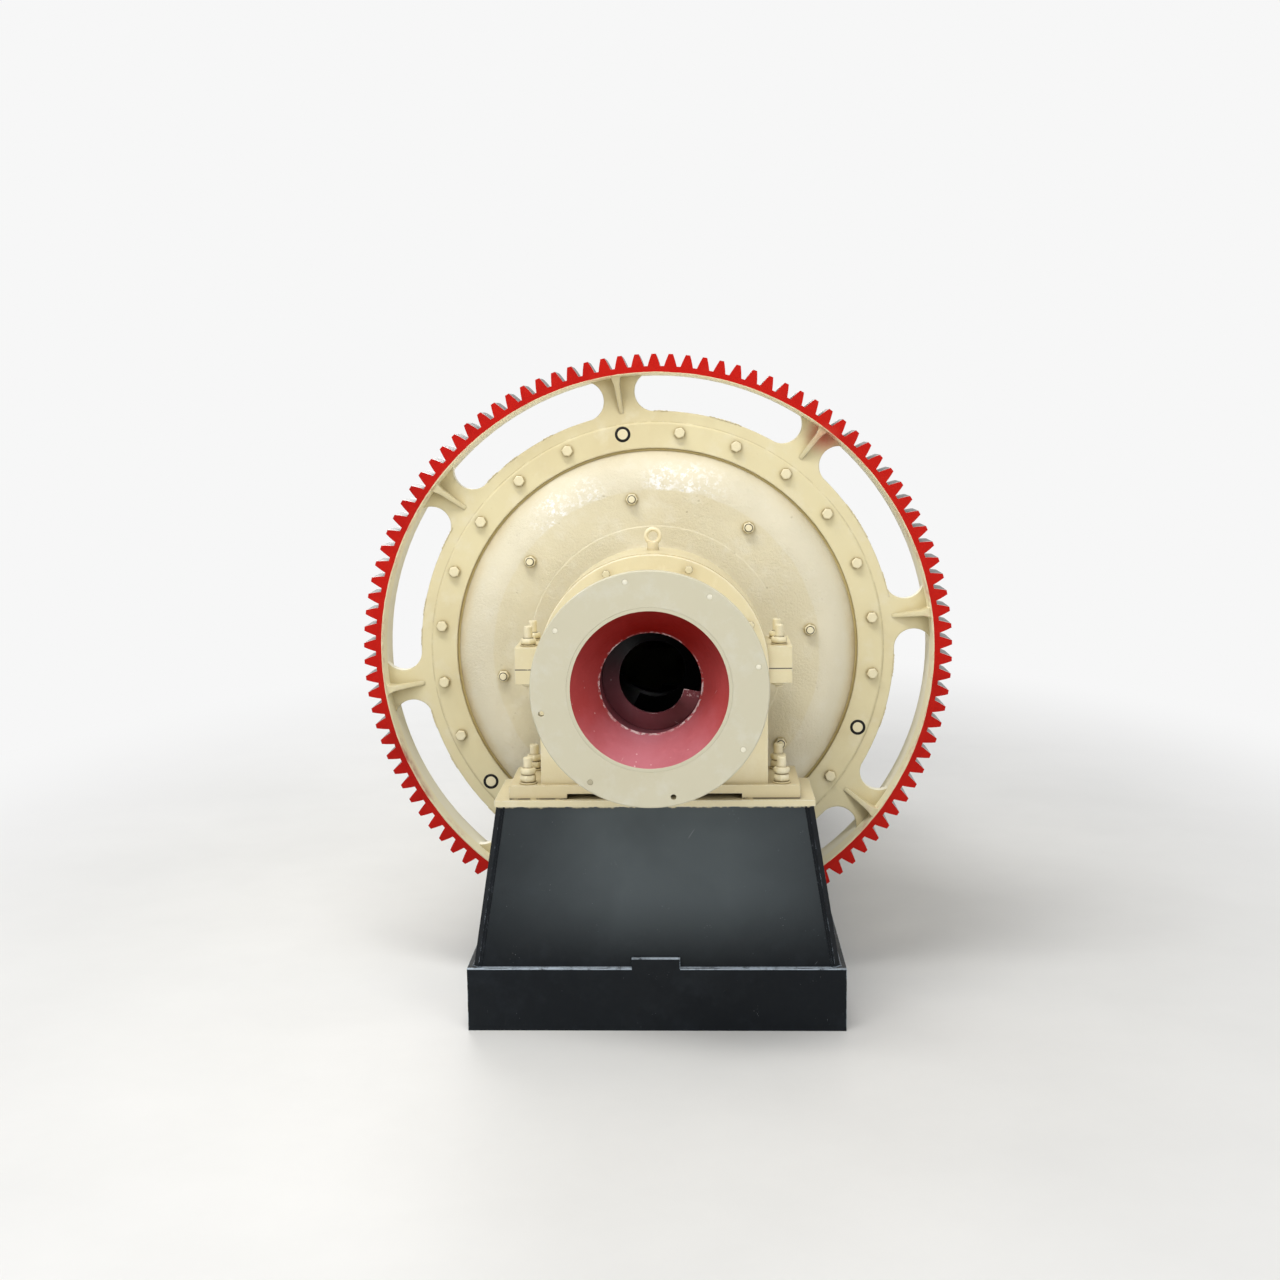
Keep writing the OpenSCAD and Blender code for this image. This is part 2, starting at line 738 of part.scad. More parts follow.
module discharge_outer_cover_ring() { color(cream) on_axis() outer_cover_ring(); }
module discharge_inner_cover_ring() { color(cream) on_axis() inner_cover_ring(); }
module discharge_lifting_eye() { color(cream) lifting_eye(); }
module discharge_shell_flange() { color(cream) on_axis() shell_flange(); }
module discharge_end_cover() { color(cream) on_axis() end_cover(); }
module discharge_trunnion_liner() { color(red) on_axis() trunnion_liner(); }
module discharge_spiral_flight() { color(red) on_axis() spiral_flight(); }
module discharge_mouth_flange() { color(cream) on_axis() mouth_flange(); }
module feed_pedestal_front_plate() { mirror([0, 1, 0]) discharge_pedestal_front_plate(); }
module feed_pedestal_rear_plate() { mirror([0, 1, 0]) discharge_pedestal_rear_plate(); }
module feed_pedestal_side_plates() { mirror([0, 1, 0]) discharge_pedestal_side_plates(); }
module feed_sole_plate() { mirror([0, 1, 0]) discharge_sole_plate(); }
module feed_bearing_housing() { mirror([0, 1, 0]) discharge_bearing_housing(); }
module feed_bearing_cap() { mirror([0, 1, 0]) discharge_bearing_cap(); }
module feed_bearing_bush() { mirror([0, 1, 0]) discharge_bearing_bush(); }
module feed_outer_cover_ring() { mirror([0, 1, 0]) discharge_outer_cover_ring(); }
module feed_inner_cover_ring() { mirror([0, 1, 0]) discharge_inner_cover_ring(); }
module feed_lifting_eye() { mirror([0, 1, 0]) discharge_lifting_eye(); }
module feed_shell_flange() { mirror([0, 1, 0]) discharge_shell_flange(); }
module feed_end_cover() { mirror([0, 1, 0]) discharge_end_cover(); }
module feed_trunnion_liner() { mirror([0, 1, 0]) discharge_trunnion_liner(); }
module feed_spiral_flight() { mirror([0, 1, 0]) discharge_spiral_flight(); }
module feed_mouth_flange() { mirror([0, 1, 0]) discharge_mouth_flange(); }
module bearing_cap_studs() {
    color(cream) {
        cap_studs_at(bearing_s);
        cap_studs_at(-bearing_s);
    }
}
module foundation_studs() {
    color(cream) {
        foundation_studs_at(bearing_s);
        foundation_studs_at(-bearing_s);
    }
}

base_side_channel_left();
base_side_channel_right();
base_front_channel();
base_rear_channel();
base_cross_channels();
discharge_pedestal_front_plate();
discharge_pedestal_rear_plate();
discharge_pedestal_side_plates();
discharge_sole_plate();
discharge_bearing_housing();
discharge_bearing_cap();
discharge_bearing_bush();
discharge_outer_cover_ring();
discharge_inner_cover_ring();
discharge_lifting_eye();
feed_pedestal_front_plate();
feed_pedestal_rear_plate();
feed_pedestal_side_plates();
feed_sole_plate();
feed_bearing_housing();
feed_bearing_cap();
feed_bearing_bush();
feed_outer_cover_ring();
feed_inner_cover_ring();
feed_lifting_eye();
bearing_cap_studs();
foundation_studs();
drum_shell();
drum_liner();
discharge_shell_flange();
feed_shell_flange();
manhole_frame();
manhole_cover();
girth_gear();
gear_locating_pins();
discharge_end_cover();
feed_end_cover();
discharge_trunnion_liner();
discharge_spiral_flight();
discharge_mouth_flange();
feed_trunnion_liner();
feed_spiral_flight();
feed_mouth_flange();
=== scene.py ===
import math
import random

import bmesh
import bpy
from mathutils import Matrix, Vector


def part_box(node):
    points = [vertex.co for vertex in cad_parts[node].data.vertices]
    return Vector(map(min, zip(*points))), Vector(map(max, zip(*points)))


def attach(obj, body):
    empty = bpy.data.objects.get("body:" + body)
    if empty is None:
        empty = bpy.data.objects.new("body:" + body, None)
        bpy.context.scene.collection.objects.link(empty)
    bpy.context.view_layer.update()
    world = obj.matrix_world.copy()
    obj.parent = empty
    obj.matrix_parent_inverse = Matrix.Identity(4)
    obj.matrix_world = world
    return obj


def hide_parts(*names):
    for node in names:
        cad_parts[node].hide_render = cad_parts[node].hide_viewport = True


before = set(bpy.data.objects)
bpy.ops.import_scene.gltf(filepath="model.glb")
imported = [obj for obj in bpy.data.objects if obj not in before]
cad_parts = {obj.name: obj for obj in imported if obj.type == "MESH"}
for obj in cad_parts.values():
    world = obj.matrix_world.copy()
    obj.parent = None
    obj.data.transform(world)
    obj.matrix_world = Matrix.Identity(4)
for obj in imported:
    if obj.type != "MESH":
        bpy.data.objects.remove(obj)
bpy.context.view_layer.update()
print("frame loaded:", len(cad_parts), "nodes")


def reach(node, axis, end=0):
    # lowest (0) or highest (1) place of a CAD node along x, y or z
    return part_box(node)[end]["xyz".index(axis)]


# Metres. The mill axis runs along Y at this height, discharge end at -Y
axisHeight = (reach("discharge_mouth_flange", "z") + reach("discharge_mouth_flange", "z", 1)) / 2
axisPoint = Vector((0, 0, axisHeight))

# camera, from the same side and height as the photograph
view = dict(place=(0.110, -5.155, 1.497), pitch=7.67, yaw=2.10, roll=-0.68, lens=45.0)


def placeCamera():
    pitch, yaw, roll = (math.radians(view[k]) for k in ("pitch", "yaw", "roll"))
    ahead = Vector(
        (-math.sin(yaw) * math.cos(pitch), math.cos(yaw) * math.cos(pitch), -math.sin(pitch)),
    )
    right = Vector((math.cos(yaw), math.sin(yaw), 0))
    up = right.cross(ahead)
    tiltedRight = math.cos(roll) * right + math.sin(roll) * up
    tiltedUp = -math.sin(roll) * right + math.cos(roll) * up
    turn = Matrix((tiltedRight, tiltedUp, -ahead)).transposed().to_4x4()
    cam = bpy.data.objects.new("photoCamera", bpy.data.cameras.new("photoCamera"))
    cam.matrix_world = Matrix.Translation(view["place"]) @ turn
    cam.data.lens = view["lens"]
    cam.data.sensor_width = 36
    cam.data.clip_end = 60
    bpy.context.collection.objects.link(cam)
    bpy.context.scene.camera = cam


placeCamera()
print("camera placed")


# node helpers
def put(tree, value, socket):
    if isinstance(value, bpy.types.NodeSocket):
        tree.links.new(value, socket)
    elif socket.type == "RGBA" and len(value) == 3:
        socket.default_value = (*value, 1)
    else:
        socket.default_value = value


def calc(tree, operation, *values, clamp=False):
    n = tree.nodes.new("ShaderNodeMath")
    n.operation = operation
    n.use_clamp = clamp
    for value, socket in zip(values, n.inputs):
        put(tree, value, socket)
    return n.outputs[0]


def product(tree, first, *others):
    for other in others:
        first = calc(tree, "MULTIPLY", first, other)
    return first


def vectorCalc(tree, operation, *values, out=0):
    n = tree.nodes.new("ShaderNodeVectorMath")
    n.operation = operation
    for value, socket in zip(values, n.inputs):
        put(tree, value, socket)
    return n.outputs[out]


def remap(tree, value, low, high, toLow=0.0, toHigh=1.0, smooth=False):
    n = tree.nodes.new("ShaderNodeMapRange")
    n.interpolation_type = "SMOOTHSTEP" if smooth else "LINEAR"
    for item, socket in zip((value, low, high, toLow, toHigh), n.inputs):
        put(tree, item, socket)
    return n.outputs[0]


def near(tree, value, place, full, none):
    # 1 within full of the place, fading to 0 at none
    away = calc(tree, "ABSOLUTE", calc(tree, "SUBTRACT", value, place))
    return remap(tree, away, full, none, 1.0, 0.0)


def mixColor(tree, factor, first, second, blend="MIX"):
    n = tree.nodes.new("ShaderNodeMix")
    n.data_type = "RGBA"
    n.blend_type = blend
    put(tree, factor, n.inputs["Factor"])
    put(tree, first, n.inputs[6])
    put(tree, second, n.inputs[7])
    return n.outputs[2]


def mixValue(tree, factor, first, second):
    n = tree.nodes.new("ShaderNodeMix")
    for value, socket in zip((factor, first, second), (n.inputs[0], n.inputs[2], n.inputs[3])):
        put(tree, value, socket)
    return n.outputs[0]


def noise(tree, vector, scale, detail=3.0, rough=0.55, distortion=0.0):
    n = tree.nodes.new("ShaderNodeTexNoise")
    settings = dict(Vector=vector, Scale=scale, Detail=detail, Roughness=rough, Distortion=distortion)
    for name, value in settings.items():
        put(tree, value, n.inputs[name])
    return n.outputs["Fac"]


def cells(tree, vector, scale):
    n = tree.nodes.new("ShaderNodeTexVoronoi")
    put(tree, vector, n.inputs["Vector"])
    put(tree, scale, n.inputs["Scale"])
    return n.outputs["Distance"]


def stretched(tree, vector, scale):
    return vectorCalc(tree, "MULTIPLY", vector, scale)


def turned(tree, vector, turn):
    n = tree.nodes.new("ShaderNodeVectorRotate")
    n.rotation_type = "EULER_XYZ"
    put(tree, vector, n.inputs["Vector"])
    n.inputs["Rotation"].default_value = [math.radians(a) for a in turn]
    return n.outputs[0]


def objectPoint(tree):
    return tree.nodes.new("ShaderNodeTexCoord").outputs["Object"]


def objectNormal(tree):
    return tree.nodes.new("ShaderNodeTexCoord").outputs["Normal"]


def split(tree, vector):
    n = tree.nodes.new("ShaderNodeSeparateXYZ")
    put(tree, vector, n.inputs[0])
    return n.outputs


def newGroup(name, inputs, outputs):
    g = bpy.data.node_groups.new(name, "ShaderNodeTree")
    kinds = dict(f="NodeSocketFloat", c="NodeSocketColor", v="NodeSocketVector")
    for label, kind, value in inputs:
        socket = g.interface.new_socket(label, in_out="INPUT", socket_type=kinds[kind])
        socket.default_value = value
    for label, kind in outputs:
        g.interface.new_socket(label, in_out="OUTPUT", socket_type=kinds[kind])
    return g, g.nodes.new("NodeGroupInput").outputs, g.nodes.new("NodeGroupOutput").inputs


def useGroup(tree, group, **values):
    n = tree.nodes.new("ShaderNodeGroup")
    n.node_tree = group
    for label, value in values.items():
        put(tree, value, n.inputs[label])
    return n.outputs


# effects shared by several materials

# Normal that runs round sharp edges, a broken mask of the worn edges, and a mask of hollows
def buildEdgeWear():
    g, into, outOf = newGroup(
        "edgeWear",
        [("Soften", "f", 0.002), ("Width", "f", 0.004), ("Scale", "f", 60.0), ("Amount", "f", 0.5),
         ("Reach", "f", 0.03)],
        [("Normal", "v"), ("Mask", "f"), ("Hollow", "f")],
    )
    bevels = []
    for label in ("Soften", "Width"):
        bevel = g.nodes.new("ShaderNodeBevel")
        bevel.samples = 6
        put(g, into[label], bevel.inputs["Radius"])
        bevels.append(bevel.outputs[0])
    flat = g.nodes.new("ShaderNodeNewGeometry").outputs["Normal"]
    bend = calc(g, "SUBTRACT", 1.0, vectorCalc(g, "DOT_PRODUCT", bevels[1], flat, out=1))
    worn = noise(g, objectPoint(g), into["Scale"], detail=6, rough=0.7)
    cut = remap(g, into["Amount"], 0.0, 1.0, 0.75, 0.2)
    broken = remap(g, worn, cut, calc(g, "ADD", cut, 0.07))
    cavity = g.nodes.new("ShaderNodeAmbientOcclusion")
    cavity.samples = 6
    put(g, into["Reach"], cavity.inputs["Distance"])
    hollow = remap(g, cavity.outputs["AO"], 0.35, 0.95, 1.0, 0.0, smooth=True)
    atEdge = calc(g, "MULTIPLY", remap(g, bend, 0.02, 0.16, smooth=True), broken)
    # an edge is worn only where it stands out
    put(g, bevels[0], outOf["Normal"])
    put(g, product(g, atEdge, remap(g, hollow, 0.25, 0.6, 1.0, 0.0)), outOf["Mask"])
    put(g, hollow, outOf["Hollow"])
    return g


# Patchy tone of old sprayed enamel: broad clouds, blotches, fine grain
def buildPaintTone():
    g, into, outOf = newGroup(
        "paintTone",
        [("Color", "c", (0.5, 0.5, 0.5, 1)), ("Dark", "c", (0.4, 0.4, 0.4, 1)),
         ("Pale", "c", (0.6, 0.6, 0.6, 1)), ("Scale", "f", 3.0), ("Amount", "f", 0.5)],
        [("Color", "c"), ("Grain", "f")],
    )
    point = objectPoint(g)
    cloud = noise(g, point, into["Scale"], detail=4, rough=0.6, distortion=0.4)
    blotch = noise(g, point, calc(g, "MULTIPLY", into["Scale"], 7.3), detail=5, rough=0.65)
    darkened = mixColor(
        g, product(g, remap(g, cloud, 0.5, 0.75), into["Amount"]), into["Color"], into["Dark"],
    )
    paled = mixColor(
        g, product(g, remap(g, blotch, 0.52, 0.78), into["Amount"]), darkened, into["Pale"],
    )
    put(g, paled, outOf["Color"])
    put(g, noise(g, point, calc(g, "MULTIPLY", into["Scale"], 90.0), detail=2), outOf["Grain"])
    return g


# Height of a painted surface: orange peel, sagging ridges and broad lumps
def buildEnamelSkin():
    g, into, outOf = newGroup(
        "enamelSkin", [("Scale", "f", 160.0), ("Lumps", "f", 0.3), ("Brush", "f", 0.2)],
        [("Height", "f")],
    )
    point = objectPoint(g)
    peel = noise(g, point, into["Scale"], detail=2, rough=0.4)
    lump = noise(g, point, calc(g, "MULTIPLY", into["Scale"], 0.09), detail=3)
    ridge = noise(g, stretched(g, point, (1, 1, 0.12)), into["Scale"], detail=2)
    lumpy = calc(g, "MULTIPLY_ADD", lump, into["Lumps"], calc(g, "MULTIPLY", peel, 0.35))
    put(g, calc(g, "MULTIPLY_ADD", ridge, into["Brush"], lumpy), outOf["Height"])
    return g


# Height of a sand-cast surface under thick paint: lumps, grit in patches, and pits
def buildCastSkin():
    g, into, outOf = newGroup(
        "castSkin", [("Scale", "f", 55.0), ("Grit", "f", 0.5), ("Pits", "f", 0.4)],
        [("Height", "f"), ("Pit", "f")],
    )
    point = objectPoint(g)
    broad = noise(g, point, calc(g, "MULTIPLY", into["Scale"], 0.22), detail=3)
    grit = noise(g, point, calc(g, "MULTIPLY", into["Scale"], 2.8), detail=5, rough=0.7)
    where = noise(g, point, calc(g, "MULTIPLY", into["Scale"], 0.09), detail=2)
    gritty = product(g, grit, into["Grit"], remap(g, where, 0.4, 0.62, 0.35, 1.0))
    hole = remap(g, cells(g, point, into["Scale"]), 0.08, 0.22, 1.0, 0.0, smooth=True)
    pitted = remap(g, noise(g, point, calc(g, "MULTIPLY", into["Scale"], 0.3)), 0.55, 0.68)
    pit = product(g, hole, pitted, into["Pits"])
    put(g, calc(g, "SUBTRACT", calc(g, "ADD", broad, gritty), pit), outOf["Height"])
    put(g, pit, outOf["Pit"])
    return g


# Dust and grime that settle on faces turned up, and specks of dirt anywhere
def buildSettledDust():
    g, into, outOf = newGroup(
        "settledDust", [("Scale", "f", 12.0), ("Amount", "f", 0.4)], [("Mask", "f"), ("Specks", "f")],
    )
    point = objectPoint(g)
    upward = remap(g, split(g, objectNormal(g))[2], 0.1, 0.95, smooth=True)
    drift = remap(g, noise(g, point, into["Scale"], detail=6, rough=0.7), 0.3, 0.75)
    spot = remap(g, cells(g, point, calc(g, "MULTIPLY", into["Scale"], 16.0)), 0.06, 0.12, 1.0, 0.0)
    spotted = remap(g, noise(g, point, calc(g, "MULTIPLY", into["Scale"], 2.0), detail=2), 0.6, 0.7)
    put(g, calc(g, "MULTIPLY", product(g, upward, drift), into["Amount"], clamp=True), outOf["Mask"])
    put(g, calc(g, "MULTIPLY", product(g, spot, spotted), into["Amount"], clamp=True), outOf["Specks"])
    return g


# Long fine scratches in two directions, and broad rubbed patches
def buildScuffs():
    g, into, outOf = newGroup(
        "scuffs", [("Scale", "f", 9.0), ("Amount", "f", 0.4)], [("Scratch", "f"), ("Rubbed", "f")],
    )
    point = objectPoint(g)
    marks = []
    for turn, offset in (((14, 62, 10), 0.0), ((-18, -34, 12), 3.1)):
        leaning = turned(g, vectorCalc(g, "ADD", point, (offset, -offset, offset)), turn)
        bowed = calc(g, "MULTIPLY_ADD", noise(g, leaning, 3.0, detail=1), 0.05, split(g, leaning)[0])
        drawn = calc(g, "FRACT", calc(g, "MULTIPLY", bowed, into["Scale"]))
        line = near(g, drawn, 0.5, 0.0015, 0.006)
        # short runs of a line here and there
        runs = noise(
            g, stretched(g, leaning, (1, 1, 0.5)), calc(g, "MULTIPLY", into["Scale"], 2.6), detail=2,
        )
        marks.append(calc(g, "MULTIPLY", line, remap(g, runs, 0.69, 0.74)))
    rubbed = remap(
        g, noise(g, point, calc(g, "MULTIPLY", into["Scale"], 0.35), detail=5, rough=0.7), 0.5, 0.75,
    )
    put(
        g, calc(g, "MULTIPLY", calc(g, "MAXIMUM", *marks), into["Amount"], clamp=True),
        outOf["Scratch"],
    )
    put(g, calc(g, "MULTIPLY", rubbed, into["Amount"], clamp=True), outOf["Rubbed"])
    return g


# Distance from the mill axis and place along it
def buildAroundAxis():
    g, into, outOf = newGroup(
        "aroundAxis", [("Height", "f", axisHeight)], [("Radius", "f"), ("Along", "f")],
    )
    x, y, z = split(g, objectPoint(g))
    above = calc(g, "SUBTRACT", z, into["Height"])
    squares = calc(g, "MULTIPLY_ADD", x, x, calc(g, "MULTIPLY", above, above))
    put(g, calc(g, "POWER", squares, 0.5), outOf["Radius"])
    put(g, calc(g, "ABSOLUTE", y), outOf["Along"])
    return g


edgeWear = buildEdgeWear()
paintTone = buildPaintTone()
enamelSkin = buildEnamelSkin()
castSkin = buildCastSkin()
settledDust = buildSettledDust()
scuffs = buildScuffs()
aroundAxis = buildAroundAxis()
print("effects built")


# materials
def newMaterial(name, **sockets):
    mat = bpy.data.materials.new(name)
    mat.use_nodes = True
    shader = mat.node_tree.nodes["Principled BSDF"]
    for label, value in sockets.items():
        shader.inputs[label.replace("_", " ")].default_value = value
    return mat, mat.node_tree, shader.inputs


def bumped(tree, height, distance, normal, strength=1.0):
    n = tree.nodes.new("ShaderNodeBump")
    n.inputs["Strength"].default_value = strength
    n.inputs["Distance"].default_value = distance
    put(tree, height, n.inputs["Height"])
    put(tree, normal, n.inputs["Normal"])
    return n.outputs[0]


# Cream enamel, on everything but the rim, the lining and the base
cream = dict(
    color=(0.69, 0.615, 0.405), dark=(0.60, 0.50, 0.285), pale=(0.77, 0.72, 0.56),
    grime=(0.33, 0.25, 0.12), bare=(0.82, 0.79, 0.70), dust=(0.62, 0.58, 0.48),
    speck=(0.20, 0.15, 0.09),
    joint=(0.09, 0.075, 0.05), pit=(0.42, 0.34, 0.2),
    # the pale shoulder colour and the glint colour are a painted sheen and painted glints; glints lists
    # where the glints lie
    white=(0.75, 0.715, 0.605), glint=(0.92, 0.92, 0.92), stain=(0.58, 0.44, 0.22),
    glints=((0.02, 0.45, 0.06), (0.11, 0.44, 0.09), (-0.26, 0.37, 0.085), (-0.18, 0.41, 0.06)),
)


def tinted(color, tint):
    return [min(0.92, c * t) for c, t in zip(color, tint)]


def creamMaterial(name, cast=False, depth=0.0006, gloss=0.36, wear=0.3, grime=0.45, tint=(1, 1, 1),
                  soften=0.002, grit=0.5, coat=0.0, chip=cream["bare"], seams=(), tone=0.55,
                  hollowReach=0.03, paleFrom=None, darkenBelow=None):
    mat, tree, shader = newMaterial(name, Coat_Weight=coat, Coat_Roughness=0.15)
    point = objectPoint(tree)
    height = split(tree, point)[2]
    edge = useGroup(
        tree, edgeWear, Soften=soften, Width=soften * 1.6, Scale=70.0, Amount=wear, Reach=hollowReach,
    )
    paint = useGroup(
        tree, paintTone, Color=tinted(cream["color"], tint), Dark=tinted(cream["dark"], tint),
        Pale=tinted(cream["pale"], tint), Scale=2.6, Amount=tone,
    )
    dust = useGroup(tree, settledDust, Scale=14.0, Amount=0.35)
    shadeAndGrimeInHollow = calc(tree, "MULTIPLY", edge["Hollow"], grime)
    color = paint["Color"]
    if paleFrom:
        # beyond this radius the paint is whiter, a painted sheen, with painted glints in patches
        wander = noise(tree, point, 11.0, detail=4)
        out = calc(tree, "MULTIPLY_ADD", wander, 0.012, useGroup(tree, aroundAxis)["Radius"])
        beyond = remap(tree, out, paleFrom + 0.005, paleFrom + 0.009)
        color = mixColor(tree, calc(tree, "MULTIPLY", beyond, 0.36), color, cream["white"])
        flat = stretched(tree, point, (1, 0, 1))
        patch = 0.0
        for x, rise, wide in cream["glints"]:
            away = vectorCalc(tree, "DISTANCE", flat, (x, 0, axisHeight + rise), out=1)
            patch = calc(tree, "MAXIMUM", patch, remap(tree, away, wide * 0.4, wide, 1.0, 0.0))
        patchy = remap(tree, noise(tree, point, 14.0, detail=5, rough=0.7), 0.36, 0.60)
        glintSpecks = remap(tree, noise(tree, point, 85.0, detail=5, rough=0.75), 0.50, 0.56)
        inner = remap(tree, out, paleFrom + 0.065, paleFrom + 0.095, 1.0, 0.0)
        color = mixColor(
            tree, product(tree, beyond, inner, patch, patchy, glintSpecks, 0.9), color, cream["glint"],
        )
        # a patchy olive-brown band beside the joint, stronger lower down
        besideJoint = remap(tree, out, paleFrom + 0.070, paleFrom + 0.108, smooth=True)
        bandPatches = remap(tree, noise(tree, point, 4.0, detail=5, rough=0.7), 0.38, 0.62)
        lower = remap(tree, height, axisHeight + 0.45, axisHeight + 0.10, 0.25, 0.75)
        color = mixColor(tree, product(tree, besideJoint, bandPatches, lower), color, cream["stain"])
    # darker towards the bottom, near the sole plate
    if darkenBelow:
        low = remap(tree, height, darkenBelow[0], darkenBelow[1], 0.55, 0.0, smooth=True)
        color = mixColor(tree, low, color, cream["dark"])
    # dirt and painted shade darken the hollows
    color = mixColor(tree, shadeAndGrimeInHollow, color, cream["grime"])
    color = mixColor(tree, calc(tree, "MULTIPLY", dust["Mask"], 0.5), color, cream["dust"])
    color = mixColor(tree, dust["Specks"], color, cream["speck"])
    color = mixColor(tree, calc(tree, "MULTIPLY", edge["Mask"], 0.85), color, chip)
    for joint, wide in seams:
        # dirt caught in the joint at this height, broken along its length
        caught = remap(tree, noise(tree, point, 24.0, detail=4, rough=0.7), 0.40, 0.48)
        upright = remap(
            tree, calc(tree, "ABSOLUTE", split(tree, objectNormal(tree))[2]), 0.3, 0.5, 1.0, 0.0,
        )
        line = product(tree, near(tree, height, joint, wide * 0.5, wide), caught, upright)
        color = mixColor(tree, line, color, cream["joint"])
    if cast:
        skin = useGroup(tree, castSkin, Scale=55.0, Grit=grit, Pits=0.5)
        color = mixColor(tree, calc(tree, "MULTIPLY", skin["Pit"], 0.6), color, cream["pit"])
    else:
        skin = useGroup(tree, enamelSkin, Scale=170.0, Lumps=0.6, Brush=0.25)
    put(tree, color, shader["Base Color"])
    spread = remap(tree, paint["Grain"], 0.3, 0.7, gloss - 0.06, gloss + 0.1)
    rougher = calc(tree, "MULTIPLY_ADD", dust["Mask"], 0.35, spread)
    put(tree, calc(tree, "MULTIPLY_ADD", shadeAndGrimeInHollow, 0.25, rougher, clamp=True), shader["Roughness"])
    put(tree, bumped(tree, skin["Height"], depth, edge["Normal"]), shader["Normal"])
    return mat


soleTop = reach("discharge_sole_plate", "z", 1)
capFoot = reach("discharge_bearing_cap", "z")
mouthTint = (0.87, 0.92, 1.04)
creamPlate = creamMaterial("creamPlate", coat=0.2)
creamCasting = creamMaterial(
    "creamCasting", cast=True, depth=0.0032, gloss=0.40, wear=0.25, grime=0.28, soften=0.003, grit=1.0,
    tint=(1.03, 1.05, 1.12), paleFrom=0.424,
)
creamHousing = creamMaterial(
    "creamHousing", cast=True, depth=0.0011, wear=0.5, grime=0.55, soften=0.0022, grit=0.45,
    tint=(1.15, 1.15, 1.12), coat=0.3, seams=((soleTop, 0.0048), (capFoot, 0.0018)),
    darkenBelow=(soleTop + 0.02, soleTop + 0.14),
)
creamInner = creamMaterial(
    "creamInner", wear=0.62, grime=0.5, tint=(1.1, 1.12, 1.2), coat=0.3, chip=(0.90, 0.87, 0.87),
    soften=0.0026,
)
creamEye = creamMaterial("creamEye", depth=0.0004, grime=0.6, tint=(1.2, 1.2, 1.2), coat=0.4)
creamRing = creamMaterial(
    "creamRing", depth=0.0009, wear=0.6, grime=0.5, tint=(1.20, 1.20, 1.18), coat=0.3,
    chip=(0.90, 0.87, 0.85),
    soften=0.0026,
)
creamMouth = creamMaterial(
    "creamMouth", depth=0.0004, gloss=0.42, grime=0.35, tint=mouthTint,
)
creamSole = creamMaterial(
    "creamSole", wear=0.62, grime=0.4, chip=(0.88, 0.92, 0.95), tint=(1.08, 1.08, 1.06),
    coat=0.2, soften=0.0012,
)
creamBolt = creamMaterial(
    "creamBolt", depth=0.0003, gloss=0.30, wear=0.4, grime=1.0, soften=0.0004, tint=(1.12, 1.13, 1.14),
    coat=0.4, tone=0.4, hollowReach=0.009,
)
# washers in a darker, yellower cream than the heads: painted shade under the heads
creamWasher = creamMaterial(
    "creamWasher", depth=0.0003, gloss=0.4, wear=0.5, grime=1.0, soften=0.0003, tint=(0.91, 0.88, 0.78),
    tone=0.5, hollowReach=0.006,
)
creamThread = creamMaterial(
    "creamThread", depth=0.0003, gloss=0.34, wear=0.5, grime=0.8, soften=0.0003,
    tint=(1.20, 1.22, 1.28),
    tone=0.5, coat=0.3, hollowReach=0.006,
)
# olive-brown filler in the joint between hub bore and cover, its colour painted shade of the groove
creamJoint = creamMaterial(
    "creamJoint", gloss=0.5, wear=0.2, grime=0.2, soften=0.0005, tint=(0.86, 0.78, 0.52),
    hollowReach=0.004,
)
plugDisc = creamMaterial(
    "plugDisc", depth=0.0003, gloss=0.3, grime=0.25, soften=0.0005, tint=(1.16, 1.24, 1.50),
    coat=0.4,
)
plugGrey = creamMaterial(
    "plugGrey", depth=0.0003, gloss=0.4, grime=0.5, soften=0.0008, tint=(0.62, 0.63, 0.66),
)


# Pins of the gear: cream ends, and sides painted dark down in their holes, as painted shade
def pinMaterial():
    mat, tree, shader = newMaterial("gearPin", Coat_Weight=0.2, Coat_Roughness=0.2)
    edge = useGroup(tree, edgeWear, Soften=0.0008, Width=0.0016, Scale=90.0, Amount=0.5)
    facing = remap(tree, calc(tree, "ABSOLUTE", split(tree, objectNormal(tree))[1]), 0.5, 0.8)
    paint = useGroup(
        tree, paintTone, Color=cream["color"], Dark=cream["dark"], Pale=cream["pale"], Scale=9.0,
        Amount=0.5,
    )
    holeShade = mixColor(
        tree, remap(tree, paint["Grain"], 0.3, 0.7), (0.020, 0.018, 0.015), (0.05, 0.045, 0.035),
    )
    color = mixColor(tree, facing, holeShade, paint["Color"])
    put(
        tree, mixColor(tree, calc(tree, "MULTIPLY", edge["Mask"], 0.8), color, cream["bare"]),
        shader["Base Color"],
    )
    put(tree, remap(tree, paint["Grain"], 0.3, 0.7, 0.34, 0.5), shader["Roughness"])
    skin = useGroup(tree, enamelSkin, Scale=200.0, Lumps=0.4, Brush=0.1)
    put(tree, bumped(tree, skin["Height"], 0.0003, edge["Normal"]), shader["Normal"])
    return mat


gearPin = pinMaterial()


# Soft black: painted shade in the clearance round the gear's pins, and a dark ring of dirt and painted
# shade where threads leave their nuts
def shadeAndDirtMaterial():
    mat, tree, shader = newMaterial("sealBlack", Specular_IOR_Level=0.2)
    tone = useGroup(
        tree, paintTone, Color=(0.012, 0.011, 0.010), Dark=(0.006, 0.006, 0.005),
        Pale=(0.030, 0.028, 0.022),
        Scale=30.0, Amount=0.7,
    )
    put(tree, tone["Color"], shader["Base Color"])
    put(tree, remap(tree, tone["Grain"], 0.3, 0.7, 0.45, 0.65), shader["Roughness"])
    skin = useGroup(tree, enamelSkin, Scale=260.0, Lumps=0.5, Brush=0.0)
    normal = tree.nodes.new("ShaderNodeNewGeometry").outputs["Normal"]
    put(tree, bumped(tree, skin["Height"], 0.0003, normal), shader["Normal"])
    return mat


sealBlack = shadeAndDirtMaterial()


